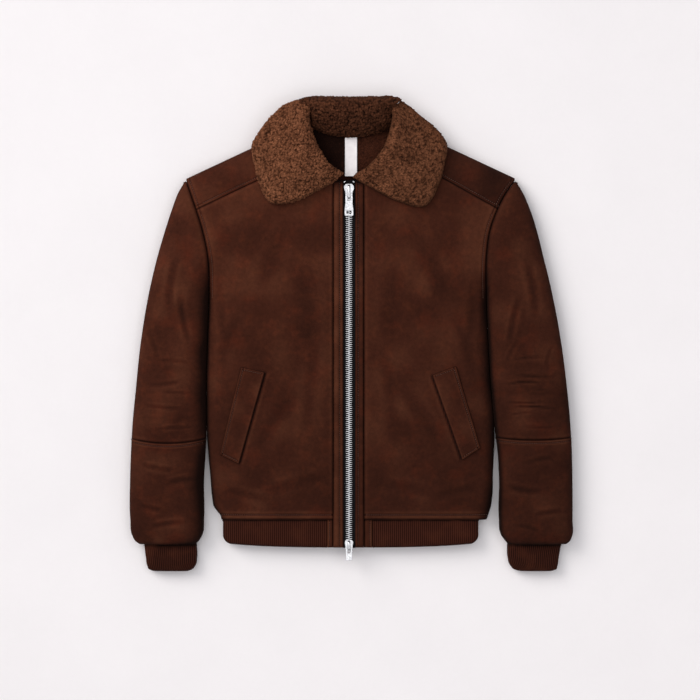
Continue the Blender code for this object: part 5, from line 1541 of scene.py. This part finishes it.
def fleece_wrap(name, grid, shown, fleece, replaced, seed):
    """An open sheet of fleece on a grid of points, with its wall added inwards."""
    sizes = bpy.context.scene.jacket_sizes
    points, height = fleece_over(grid, False, sizes.curl / MM, sizes.curl_height / MM, 1.0, shown, seed)
    rows, columns = shown.shape
    faces = grid_faces(rows, columns)
    normals = surface_normals(grid, False)
    if normals[rows // 4, columns // 2, 2] < 0:
        faces = faces[:, ::-1]
    # Painted shade: the tone follows the tufts' height, darker still where less wool shows, as on the turn
    # under the collar
    piece = make_piece(name, points.reshape(-1, 3), faces, fleece,
                       tone=(height * np.clip(shown, 0.2, 1.0)).ravel(), sharp=180.0)
    thick = piece.modifiers.new("hide", "SOLIDIFY")
    thick.thickness = sizes.hide
    thick.offset = -1.0
    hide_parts(*replaced)
    width, length, area = cut_of(grid, False)


def build_neck():
    """Back-neck facing in short sheared wool, and the bare label sewn in at the neck seam."""
    left = lambda y: follow(FACING_ROWS, 0, 1, y)
    right = lambda y: follow(FACING_ROWS, 0, 2, y)
    columns = np.linspace(0.0, 1.0, 84)
    rows = np.linspace(0.0, 1.0, 56)
    x, y = spread(left, right, lambda x: np.full_like(x, FACING_ROWS[0][0]), lambda x: neck_seam(x) - SEAM,
                  columns, rows)
    base = np.full_like(x, BODY_PLANE + SEAM + FACING_WALL - 0.6)
    grid = np.stack([x, y, base], axis=-1)
    points, height = fleece_over(grid, False, 2.6, 1.1, 0.2, np.ones(x.shape), 121)
    # Painted shade: the tone follows the curls' height, with shade painted in a band under the neck seam and
    # across the left side, where the left collar leaf shades it, lightening to the right; the whole is a
    # little darker
    seam_shade = bell(neck_seam(x) - y, 0.0, 3.0)
    cloth("neck_facing_fleece", x, y, points[..., 2], BODY_PLANE + SEAM,
          made_once("sheared_wool", facing_fleece), ("neck_facing",),
          tone=height - 0.5 * seam_shade + 0.5 * np.tanh(x / 22.0) - 0.1,
          wall=1.2 * MM)

    x, y = np.meshgrid(np.linspace(-LABEL_HALF, LABEL_HALF, 25),
                       np.linspace(LABEL_LOW_Y, NECK_SEAM_Y - SEAM, 64))
    from_seam = NECK_SEAM_Y - y
    low = BODY_PLANE + 2 * SEAM + FACING_WALL
    lift = 1.1 * np.sin(np.clip(from_seam / 62.0, 0.0, 1.0) * math.pi) + 0.25 * rolling(x, y, 14.0, 123)
    curl = 0.9 * (x / LABEL_HALF) ** 2 * ramp(from_seam, 4.0, 40.0)
    face = low + LABEL_WALL + np.maximum(lift + curl, 0.0)
    hemmed = bell(from_seam, 58.8, 0.7) + bell(from_seam, 2.2, 0.7)
    cloth("neck_label_satin", x, y, face - 0.2 * hemmed, face - 0.2 * hemmed - 0.5,
          made_once("woven_satin", woven_satin), ("neck_label",),
          wall=0.35 * MM)


# Small metal and thread

def lofted(rings):
    """Points and faces of a closed solid through rings of as many points, with its ends closed by fans."""
    rings = np.asarray(rings, dtype=float)
    count, around = rings.shape[:2]
    middles = np.stack([rings[0].mean(axis=0), rings[-1].mean(axis=0)])
    points = np.concatenate([rings.reshape(-1, 3), middles])
    faces = tube_faces(count, around)
    first = points[faces[0][0]]
    normal = np.cross(first[1] - first[0], first[2] - first[1])
    if np.dot(normal, first.mean(axis=0) - rings[:2].mean(axis=(0, 1))) < 0:
        faces = turned_over(faces)
    return points, faces


def joined(parts):
    """One set of points and faces from several."""
    points = []
    quads = []
    triangles = []
    total = 0
    for some, faces in parts:
        points.append(some)
        quads.append(faces[0] + total)
        triangles.append(faces[1] + total)
        total += len(some)
    return np.concatenate(points), [np.concatenate(quads), np.concatenate(triangles)]


def repeated(points, faces, at, turns, lengths=None):
    """Copies of one small solid at many places: each turned in the table's plane and stretched along x."""
    cos = np.cos(turns)[:, None]
    sin = np.sin(turns)[:, None]
    scale = np.ones(len(at)) if lengths is None else lengths
    x = points[None, :, 0] * scale[:, None]
    y = points[None, :, 1]
    z = points[None, :, 2] + at[:, 2:3]
    placed = np.stack([x * cos - y * sin + at[:, 0:1], x * sin + y * cos + at[:, 1:2], z], axis=-1)
    shift = (np.arange(len(at)) * len(points))[:, None, None]
    return placed.reshape(-1, 3), [(rows[None] + shift).reshape(-1, rows.shape[1]) for rows in faces]


def rounded_ring(half_y, low, high, corner):
    """Ring of eight points round a bar's section: y and z, with its corners cut."""
    corner = min(corner, 0.45 * (high - low), 0.45 * half_y)
    side = half_y - corner
    return [(-side, low), (side, low), (half_y, low + corner), (half_y, high - corner),
            (side, high), (-side, high), (-half_y, high - corner), (-half_y, low + corner)]


def tooth():
    """One zip tooth pointing along +x from the tape's edge to past the middle: a foot, a waist and a head."""
    rings = []
    for place, half, high in TOOTH_SECTIONS:
        rings.append([(place, y, z) for y, z in rounded_ring(half, 0.0, high, 0.3)])
    return lofted(rings)


def stitch(length, thick):
    """One stitch lying along x: a fat thread that goes down into the hide at both ends."""
    rings = []
    for share, size, drop in STITCH_SECTIONS:
        radius = 0.5 * thick * size
        rings.append([(share * length, radius * math.cos(k * math.pi / 3), radius * math.sin(k * math.pi / 3)
                       - drop * thick) for k in range(6)])
    return lofted(rings)


def nickel():
    """The zip's metal."""
    return made_once("nickel_polished", polished_nickel)


def plate(outline, holes, low, high, bevel):
    """A flat metal plate with rounded edges from its outline and holes: a filled curve, made arrays."""
    curve = bpy.data.curves.new("plate_form", "CURVE")
    curve.dimensions = "2D"
    curve.fill_mode = "BOTH"
    curve.extrude = (high - low) / 2 - bevel
    curve.bevel_depth = bevel
    curve.bevel_resolution = 2
    curve.offset = -bevel
    for ring in (outline,) + tuple(holes):
        spline = curve.splines.new("POLY")
        spline.points.add(len(ring) - 1)
        spline.points.foreach_set("co", [value for x, y in ring for value in (x, y, 0.0, 1.0)])
        spline.use_cyclic_u = True
    former = bpy.data.objects.new("plate_form", curve)
    bpy.context.scene.collection.objects.link(former)
    mesh = bpy.data.meshes.new_from_object(former.evaluated_get(bpy.context.evaluated_depsgraph_get()))
    bpy.data.objects.remove(former)
    bpy.data.curves.remove(curve)
    points = np.empty(len(mesh.vertices) * 3)
    mesh.vertices.foreach_get("co", points)
    mesh.calc_loop_triangles()
    triangles = np.empty(len(mesh.loop_triangles) * 3, dtype=np.int32)
    mesh.loop_triangles.foreach_get("vertices", triangles)
    bpy.data.meshes.remove(mesh)
    points = points.reshape(-1, 3) + (0.0, 0.0, (low + high) / 2)
    return points, [np.zeros((0, 4), dtype=np.int32), triangles.reshape(-1, 3)]


def arc_points(points, steps=5):
    """An outline with each of its corners rounded: (x, y, radius) rows."""
    ring = []
    count = len(points)
    for k in range(count):
        here = np.array(points[k][:2])
        before = np.array(points[k - 1][:2])
        after = np.array(points[(k + 1) % count][:2])
        radius = points[k][2]
        first = here + (before - here) * min(radius / np.linalg.norm(before - here), 0.48)
        last = here + (after - here) * min(radius / np.linalg.norm(after - here), 0.48)
        for t in np.linspace(0.0, 1.0, steps if radius > 0 else 1):
            ring.append(tuple(first * (1 - t) ** 2 + here * 2 * t * (1 - t) + last * t ** 2))
    return ring


def mirrored(side, radius):
    """Rounded outline about the zip's line from rows of half width and height down one side."""
    rows = [(ZIP_X - x, y, radius) for x, y in side] + [(ZIP_X + x, y, radius) for x, y in reversed(side)]
    return arc_points(rows)


def swept(path, half, thick):
    """A strap that follows a path of y and z, as wide as 2 half, with rounded edges."""
    path = np.asarray(path, dtype=float)
    along = np.gradient(path, axis=0)
    along /= np.linalg.norm(along, axis=1)[:, None]
    rings = []
    for (y, z), (dy, dz) in zip(path, along):
        ring = rounded_ring(half, -thick / 2, thick / 2, 0.35 * thick)
        rings.append([(ZIP_X + a, y - dz * b, z + dy * b) for a, b in ring])
    return lofted(rings)


def build_zip():
    """Woven tapes, metal teeth and the stops' plating."""
    tape = made_once("polyester_zip_tape", woven_tape)
    ends = np.linspace(HEM_LOW_Y + 0.6, ZIP_TOP_Y - 0.5, 120)
    for side, outer, inner in (("left", TAPE_LEFT, ZIP_X - SEAM / 2),
                               ("right", TAPE_RIGHT, ZIP_X + SEAM / 2)):
        x, y = np.meshgrid(np.linspace(outer, inner, 5), ends)
        face = TAPE_TOP_Z + 0.12 * rolling(x, y, 8.0, 131)
        cloth("zip_tape_woven_" + side, x, y, face, TAPE_TOP_Z - TAPE_WALL, tape,
              ("zip_tape_" + side,),
              wall=0.45 * MM, turn=1.8)
    pitch = bpy.context.scene.jacket_sizes.tooth_pitch / MM
    points, faces = tooth()
    low = SLIDERS["bottom"]["high"] - 3.0
    high = SLIDERS["top"]["low"] + 3.0
    places = []
    turns = []
    for number, start in enumerate((low, low + pitch / 2)):
        heights = np.arange(start, high, pitch)
        sign = 1.0 - 2.0 * number
        places.append(np.stack([np.full_like(heights, ZIP_X - sign * CHAIN_HALF), heights,
                                np.full_like(heights, TAPE_TOP_Z + 0.1)], axis=1))
        turns.append(np.full(len(heights), number * math.pi))
    chain = repeated(points, faces, np.concatenate(places), np.concatenate(turns))
    piece = make_piece("zip_teeth", chain[0], chain[1], nickel())
    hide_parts("zip_chain")
    for side in SIDES:
        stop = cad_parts["zip_stop_" + side]
        stop.data.materials.clear()
        stop.data.materials.append(nickel())


def drawn_in(side, share, inset, step):
    """Half outline of a slider drawn in: its half widths by a share and an inset, and its ends by a step."""
    last = len(side) - 1
    return [(share * x - inset, y + (step if k == last else -step if k == 0 else 0.0))
            for k, (x, y) in enumerate(side)]


def build_sliders():
    """Cast sliders: an upper plate with a shield's outline over a narrower body, a raised rim round its top,
    and a crown that carries the pull tab."""
    for which in ("top", "bottom"):
        size = SLIDERS[which]
        high = size["high"]
        low = size["low"]
        span = high - low
        top_z = SLIDER_LOW_Z + SLIDER_WALL
        side = ((0.62 * size["wide"], high), (size["wide"], high - 0.16 * span),
                (0.98 * size["wide"], high - 0.34 * span),
                (size["waist"], high - 0.52 * span), (size["waist"], high - 0.86 * span),
                (0.85 * size["mouth"], low))
        parts = [plate(mirrored(side, 2.0), (), top_z - 2.0, top_z, 0.5),
                 plate(mirrored(drawn_in(side, 0.86, 0.0, 0.6), 1.6), (), SLIDER_LOW_Z, top_z - 1.6, 0.3)]
        rim = drawn_in(side, 1.0, 1.5, 1.4)
        parts.append(plate(mirrored(side, 2.0), (mirrored(rim, 1.4),), top_z - 0.6, top_z + 0.35, 0.25))
        axis = size["axis"]
        leg_y = axis - CROWN_HOLE_HALF - CROWN_LEG / 2
        front_y = high - 2.6
        path = [(front_y + 0.9, top_z - 0.8), (front_y + 0.5, top_z + 0.6), (front_y - 0.2, top_z + 1.9),
                (front_y - 1.3, CROWN_TOP_Z - 1.3), (front_y - 2.8, CROWN_TOP_Z - 0.75),
                ((front_y + leg_y) / 2, CROWN_TOP_Z - 0.65), (leg_y + 2.0, CROWN_TOP_Z - 0.75),
                (leg_y + 0.7, CROWN_TOP_Z - 1.2), (leg_y, CROWN_TOP_Z - 2.2), (leg_y - 0.1, top_z - 0.8)]
        parts.append(swept(path, CROWN_HALF, 1.3))
        points, faces = joined(parts)
        piece = make_piece("zip_slider_cast_" + which, points, faces, nickel(), sharp=50.0)
        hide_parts("zip_slider_" + which)


def build_pulls():
    """Pull tabs: stamped plates hung in the crowns, the upper one with raised rims round a sunk panel."""
    for which in ("top", "bottom"):
        size = PULLS[which]
        axis = SLIDERS[which]["axis"]
        start = axis + PULL_WALL / 2
        end = size["end"]
        foot_y = end + 9.0 if size["hole"] else end + 4.0
        side = ((0.7 * size["eye"], start), (size["eye"], start - 1.6), (size["eye"], axis - SLOT_LENGTH),
                (size["neck"], axis - SLOT_LENGTH - 3.0), (size["foot"], foot_y), (size["foot"], end + 1.0),
                (size["foot"] - 1.0, end))
        slot = ((SLOT_HALF, axis - PULL_WALL / 2), (SLOT_HALF, axis - SLOT_LENGTH))
        holes = [mirrored(slot, 1.0)]
        if size["hole"]:
            low, high = size["hole"]
            holes.append(mirrored(((size["hole_half"], high), (size["hole_half"], low)), 1.8))
        low_z = HINGE_Z - PULL_WALL / 2
        high_z = HINGE_Z + PULL_WALL / 2
        parts = [plate(mirrored(side, 1.4), holes, low_z, high_z, 0.3)]
        if size["hole"]:
            panel = ((size["neck"] - 1.5, axis - SLOT_LENGTH - 1.6),
                     (size["neck"] - 1.5, axis - SLOT_LENGTH - 3.2),
                     (size["foot"] - 1.6, foot_y + 1.0), (size["foot"] - 1.6, size["hole"][1] + 1.6))
            outer = ((size["eye"], axis - SLOT_LENGTH + 0.6), (size["neck"], axis - SLOT_LENGTH - 3.0),
                     (size["foot"], foot_y), (size["foot"], size["hole"][1]))
            parts.append(plate(mirrored(outer, 1.0), (mirrored(panel, 1.0),),
                               high_z - 0.4, high_z + 0.45, 0.2))
        points, faces = joined(parts)
        piece = make_piece("zip_pull_stamped_" + which, points, faces, nickel(),
                           body=which + "_pull",
                           sharp=50.0)
        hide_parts("zip_pull_" + which)


def seam_run(x, y, face):
    """Places and turns of the stitches along a line, resting on the face below it."""
    pitch = bpy.context.scene.jacket_sizes.stitch / MM
    length = travelled(x, y)
    middles = np.arange(0.5 * pitch, length[-1], pitch)
    at_x, at_y = [np.interp(middles, length, values) for values in (x, y)]
    step_x, step_y = [np.interp(middles + 0.5, length, values) - np.interp(middles - 0.5, length, values)
                      for values in (x, y)]
    return np.stack([at_x, at_y, face(at_x, at_y) + 0.15], axis=1), np.arctan2(step_y, step_x)


def seam_lines(side):
    """Every topstitched line of one side of the jacket, as x, y and the face it lies on."""
    sign = SIGN[side]
    front = lambda x, y: front_face(side, x, y)[0]
    yoke = lambda x, y: yoke_face(side, x, y)[0]
    forearm = lambda x, y: sleeve_face(side, x, y, elbow(side, x) - SEAM, np.full_like(x, FOREARM_END),
                                       True)[0]
    level = lambda height: lambda x, y: np.full_like(x, height)
    y = np.linspace(56.0, 190.0, 90)
    yield body_edge(side)(y) - sign * SIDE_LINE, y, front
    y = np.linspace(206.0, 243.0, 30)
    yield body_edge(side)(y) - sign * SIDE_LINE, y, yoke
    x = sign * np.linspace(64.0, 238.0, 90)
    yield x, polyline(YOKE_SEAM[side], 0, 1, x) + YOKE_LINE, yoke
    height = HEM_TOP_Y + HEM_LINE
    x = np.linspace(PLACKET[side] + sign * 3.0, body_edge(side)(height) - sign * 3.0, 90)
    yield x, np.full_like(x, height), front
    x = np.linspace(*[sleeve_edge(side, where)(ELBOW[side]["edge"]) for where in ("inner", "outer")],
                    60)[2:-2]
    yield x, elbow(side, x) - SEAM - ELBOW_LINE, forearm
    y = np.linspace(HEM_LOW_Y + 5.0, ZIP_TOP_Y - 5.0, 40)
    x = PLACKET[side] + PLACKET_LINE * (tape_edge(side) - PLACKET[side])
    yield np.full_like(y, x), y, level(BODY_PLANE + SEAM + PLACKET_GROOVE)
    y = np.linspace(HEM_LOW_Y + 3.0, HEM_TOP_Y - 3.0, 20)
    yield np.full_like(y, TAB[side] - sign * TAB_LINE), y, level(BODY_PLANE + SEAM + HEM_WALL + 1.9)
    for across, along in (((1 - WELT_LINE / WELT_WIDE,) * 2, (0.03, 0.97)),
                          ((0.12, 0.88), (WELT_LINE / WELT_LONG,) * 2),
                          ((0.12, 0.88), (1 - WELT_LINE / WELT_LONG,) * 2)):
        u = np.linspace(*across, 60)
        v = np.linspace(*along, 60)
        x, y, face, _, _ = welt_face(side, u, v)
        length = travelled(x, y)
        start = np.array([x[0], y[0]])
        yield x, y, lambda a, b, start=start, length=length, face=face: np.interp(
            np.hypot(a - start[0], b - start[1]), length, face)


def build_stitching():
    """Topstitching: one twisted thread for each stitch, let into the grooves of the seams."""
    sizes = bpy.context.scene.jacket_sizes
    points, faces = stitch(STITCH_SHOWN * sizes.stitch / MM, sizes.thread / MM)
    for side in SIDES:
        runs = [seam_run(x, y, face) for x, y, face in seam_lines(side)]
        at = np.concatenate([places for places, _ in runs])
        turns = np.concatenate([turn for _, turn in runs])
        row = repeated(points, faces, at, turns)
        make_piece("topstitching_" + side, row[0], row[1],
                   made_once("sewing_thread", twisted_thread))


# Stage

def aimed(target, location):
    """Rotation that points a light's or camera's -z axis from its place at a target."""
    from_to = Vector(target) - Vector(location)
    return from_to.to_track_quat("-Z", "Y").to_euler()


def build_stage():
    """Floor, soft light from the upper left, pale surroundings and the camera straight above."""
    scene = bpy.context.scene
    lights = scene.jacket_lights
    scene.view_settings.view_transform = "Standard"
    mesh = bpy.data.meshes.new("floor")
    corners = [(x * FLOOR_HALF, y * FLOOR_HALF, 0.0) for x, y in ((-1, -1), (1, -1), (1, 1), (-1, 1))]
    mesh.from_pydata(corners, [], [(0, 1, 2, 3)])
    mesh.materials.append(made_once("floor_plaster", plaster_floor))
    floor = bpy.data.objects.new("floor", mesh)
    scene.collection.objects.link(floor)
    floor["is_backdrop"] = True

    world = bpy.data.worlds.new("soft_room")
    world.use_nodes = True
    world.node_tree.nodes["Background"].inputs["Color"].default_value = colour(lights.room)
    world.node_tree.nodes["Background"].inputs["Strength"].default_value = lights.fill
    scene.world = world

    sun = bpy.data.lights.new("window", "SUN")
    sun.energy = lights.key
    sun.angle = lights.softness
    sun.color = lights.key_colour
    lamp = bpy.data.objects.new("window", sun)
    lamp.location = WINDOW_PLACE
    lamp.rotation_euler = aimed((0.0, 0.0, 0.0), (*WINDOW_FROM, lights.height))
    scene.collection.objects.link(lamp)

    for name, disk, power in (("soft_box", SOFT_BOX, lights.box), ("ceiling_panel", CEILING, lights.above)):
        area = bpy.data.lights.new(name, "AREA")
        area.shape = "DISK"
        area.size = disk["size"]
        area.energy = power
        box = bpy.data.objects.new(name, area)
        box.location = disk["place"]
        box.rotation_euler = aimed((0.0, 0.0, 0.0), disk["place"])
        scene.collection.objects.link(box)

    lens = bpy.data.cameras.new("camera")
    lens.lens = CAMERA_LENS
    lens.sensor_width = CAMERA_SENSOR
    camera = bpy.data.objects.new("camera", lens)
    camera.location = CAMERA_PLACE
    scene.collection.objects.link(camera)
    scene.camera = camera


# Add-on

def size_property(name, about, value, **kind):
    """A length, angle or share that the user may change."""
    return FloatProperty(name=name, description=about, default=value, precision=4, **kind)


def colour_property(name, about, code):
    """A colour that the user may change, from its sRGB hex code."""
    return FloatVectorProperty(name=name, description=about, subtype="COLOR", size=3, min=0.0, max=1.0,
                               default=linear(code))


class JacketSizes(bpy.types.PropertyGroup):
    """Sizes of the finer form."""
    hide: size_property("Hide", "Thickness of the hide with its sheared wool", 0.0022, unit="LENGTH")
    crease: size_property("Creases", "Depth of the creases, as a share of that placed by hand", 1.0,
                          subtype="FACTOR")
    rib: size_property("Rib", "Width of one rib of the knit", 0.0032, unit="LENGTH")
    stitch_knit: size_property("Knit stitch", "Length of one knitted stitch", 0.0018, unit="LENGTH")
    curl: size_property("Curl", "Width of one curled tuft of the collar", 0.004, unit="LENGTH")
    curl_height: size_property("Curl height", "Height of the collar's tufts", 0.004, unit="LENGTH")
    tooth_pitch: size_property("Tooth pitch", "From one tooth to the next on the same tape", 0.0032,
                               unit="LENGTH")
    stitch: size_property("Stitch", "Length of one stitch of the topstitching", 0.0036, unit="LENGTH")
    thread: size_property("Thread", "Thickness of the topstitching thread", 0.0008, unit="LENGTH")


class JacketColours(bpy.types.PropertyGroup):
    """Colours of the cloth, wool, metal and floor."""
    suede: colour_property("Suede", "Brushed hide", "#462317")
    suede_dark: colour_property("Suede shade", "Hide where its nap lies dark", "#37190F")
    suede_light: colour_property("Suede light", "Hide where its nap lies pale", "#502818")
    suede_red: colour_property("Suede red", "Warmer clouds in the dye", "#4A2013")
    # Paler hide on the seams' ridges and lips: partly rubbed wear, partly painted highlight
    suede_wear_and_highlight: colour_property("Suede worn", "Rubbed ridges of the seams", "#6A3E2A")
    # Dark stitched grooves, and painted shade in creases, folds and openings
    suede_groove_and_shade: colour_property("Suede groove", "Stitched lines and seams", "#190A06")
    wool: colour_property("Wool", "Collar's curled wool", "#83533A")
    # Painted shade between the collar's curls
    wool_dark: colour_property("Wool shade", "Between the collar's curls", "#2E190D")
    # Ends of the curls: partly the wool's own paler tips, partly a painted highlight
    wool_tip: colour_property("Wool tips", "Ends of the collar's curls", "#B07E5C")
    # Inside the neck the wool is a darker copy of the collar's, with painted shade
    inner: colour_property("Inner wool", "Wool inside the neck", "#5E3826")
    inner_dark: colour_property("Inner wool shade", "Between the curls inside the neck", "#160A05")
    facing: colour_property("Facing", "Short wool of the back-neck facing", "#3E2015")
    # Painted shade between the facing's curls
    facing_dark: colour_property("Facing shade", "Between the facing's curls", "#190B07")
    rib: colour_property("Rib knit", "Crests of the ribs", "#422016")
    # Painted shade in the furrows between the ribs
    rib_dark: colour_property("Rib knit shade", "Furrows between the ribs", "#180A06")
    thread: colour_property("Thread", "Topstitching", "#66402E")
    metal: colour_property("Nickel", "Plated zip", "#D8D8DA")
    metal_dull: colour_property("Nickel wear", "Rubbed plating", "#A4A5A8")
    tape: colour_property("Zip tape", "Woven tape", "#141214")
    tape_dark: colour_property("Zip tape shade", "Between the tape's threads", "#070607")
    label: colour_property("Label", "Satin label", "#FBF6F6")
    label_shade: colour_property("Label shade", "Satin label's folds", "#EFE9EA")
    floor: colour_property("Floor", "Pale plaster", "#F8F5F6")
    floor_shade: colour_property("Floor shade", "Plaster's clouds", "#F5F2F3")


class JacketLights(bpy.types.PropertyGroup):
    """Light of the stage."""
    key: size_property("Window", "Strength of the light from the upper left", 1.2)
    height: size_property("Window height", "Height of the window over a metre and a half of floor", 1.2,
                          unit="LENGTH")
    softness: size_property("Window softness", "Angle that the window fills", 0.6, unit="ROTATION")
    fill: size_property("Room", "Strength of the light from all round", 0.36)
    box: size_property("Soft box", "Strength of the soft box", 7.0, unit="POWER")
    above: size_property("Ceiling panel", "Strength of the panel over the table", 82.0, unit="POWER")
    key_colour: colour_property("Window colour", "Colour of the window's light", "#FFF9F5")
    room: colour_property("Room colour", "Colour of the light from all round", "#FBFAFF")


class JacketFronts(bpy.types.Operator):
    """Suede fronts and shoulder yokes."""
    bl_idname = "jacket.fronts"
    bl_label = "Fronts and yokes"

    def execute(self, context):
        """Build them."""
        build_fronts()
        return {"FINISHED"}


class JacketBack(bpy.types.Operator):
    """Suede back."""
    bl_idname = "jacket.back"
    bl_label = "Back"

    def execute(self, context):
        """Build them."""
        build_back()
        return {"FINISHED"}


class JacketPlackets(bpy.types.Operator):
    """Suede strips beside the zip."""
    bl_idname = "jacket.plackets"
    bl_label = "Zip plackets"

    def execute(self, context):
        """Build them."""
        build_plackets()
        return {"FINISHED"}


class JacketWelts(bpy.types.Operator):
    """Stitched pocket welts."""
    bl_idname = "jacket.welts"
    bl_label = "Pocket welts"

    def execute(self, context):
        """Build them."""
        build_welts()
        return {"FINISHED"}


class JacketSleeves(bpy.types.Operator):
    """Upper sleeves and forearms."""
    bl_idname = "jacket.sleeves"
    bl_label = "Sleeves"

    def execute(self, context):
        """Build them."""
        build_sleeves()
        return {"FINISHED"}


class JacketRibs(bpy.types.Operator):
    """Rib-knit hem and cuffs."""
    bl_idname = "jacket.ribs"
    bl_label = "Rib knit"

    def execute(self, context):
        """Build them."""
        build_ribs()
        return {"FINISHED"}


class JacketTabs(bpy.types.Operator):
    """Suede tabs at the hem beside the zip."""
    bl_idname = "jacket.tabs"
    bl_label = "Hem tabs"

    def execute(self, context):
        """Build them."""
        build_tabs()
        return {"FINISHED"}


class JacketLeaves(bpy.types.Operator):
    """Curly wool collar leaves."""
    bl_idname = "jacket.leaves"
    bl_label = "Collar leaves"

    def execute(self, context):
        """Build them."""
        build_leaves()
        return {"FINISHED"}


class JacketCollarBack(bpy.types.Operator):
    """Wool at the back of the collar."""
    bl_idname = "jacket.collar_back"
    bl_label = "Collar back"

    def execute(self, context):
        """Build them."""
        build_collar_back()
        return {"FINISHED"}


class JacketNeck(bpy.types.Operator):
    """Back-neck facing and bare label."""
    bl_idname = "jacket.neck"
    bl_label = "Neck"

    def execute(self, context):
        """Build them."""
        build_neck()
        return {"FINISHED"}


class JacketZip(bpy.types.Operator):
    """Zip tapes, teeth and stops."""
    bl_idname = "jacket.zip"
    bl_label = "Zip"

    def execute(self, context):
        """Build them."""
        build_zip()
        return {"FINISHED"}


class JacketSliders(bpy.types.Operator):
    """Sliders with their crowns."""
    bl_idname = "jacket.sliders"
    bl_label = "Sliders"

    def execute(self, context):
        """Build them."""
        build_sliders()
        return {"FINISHED"}


class JacketPulls(bpy.types.Operator):
    """Pull tabs of both sliders."""
    bl_idname = "jacket.pulls"
    bl_label = "Pull tabs"

    def execute(self, context):
        """Build them."""
        build_pulls()
        return {"FINISHED"}


class JacketStitching(bpy.types.Operator):
    """Topstitching along the seams."""
    bl_idname = "jacket.stitching"
    bl_label = "Topstitching"

    def execute(self, context):
        """Build them."""
        build_stitching()
        return {"FINISHED"}


class JacketStage(bpy.types.Operator):
    """Floor, lights and camera."""
    bl_idname = "jacket.stage"
    bl_label = "Stage"

    def execute(self, context):
        """Build them."""
        build_stage()
        return {"FINISHED"}


OPERATORS = (
    JacketFronts, JacketBack, JacketPlackets, JacketWelts, JacketSleeves, JacketRibs, JacketTabs,
    JacketLeaves, JacketCollarBack, JacketNeck, JacketZip, JacketSliders, JacketPulls, JacketStitching,
    JacketStage,
)


class JacketPanel(bpy.types.Panel):
    """Sidebar panel with the jacket's sizes, colours, lights and building steps."""
    bl_idname = "JACKET_PT_pieces"
    bl_label = "Shearling jacket"
    bl_space_type = "VIEW_3D"
    bl_region_type = "UI"
    bl_category = "Jacket"

    def draw(self, context):
        """List every property, then a button for every step."""
        for group in (context.scene.jacket_sizes, context.scene.jacket_colours, context.scene.jacket_lights):
            box = self.layout.box()
            for key in group.bl_rna.properties.keys():
                if key not in ("rna_type", "name"):
                    box.prop(group, key)
        for operator in OPERATORS:
            self.layout.operator(operator.bl_idname)


GROUPS = {"jacket_sizes": JacketSizes, "jacket_colours": JacketColours, "jacket_lights": JacketLights}


def register():
    """Register the classes and hang the property groups on the scene."""
    for kind in tuple(GROUPS.values()) + OPERATORS + (JacketPanel,):
        bpy.utils.register_class(kind)
    for key, group in GROUPS.items():
        setattr(bpy.types.Scene, key, PointerProperty(type=group))


def unregister():
    """Take everything off again."""
    for key in GROUPS:
        delattr(bpy.types.Scene, key)
    for kind in (JacketPanel,) + OPERATORS[::-1] + tuple(GROUPS.values()):
        bpy.utils.unregister_class(kind)


def main():
    """Build every piece in order."""
    register()
    for operator in OPERATORS:
        group, name = operator.bl_idname.split(".")
        getattr(getattr(bpy.ops, group), name)()
    boxes = [[list(map(float, corner)) for corner in box] for box in (CAD_BOX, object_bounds())]


if __name__ == "__main__":
    main()
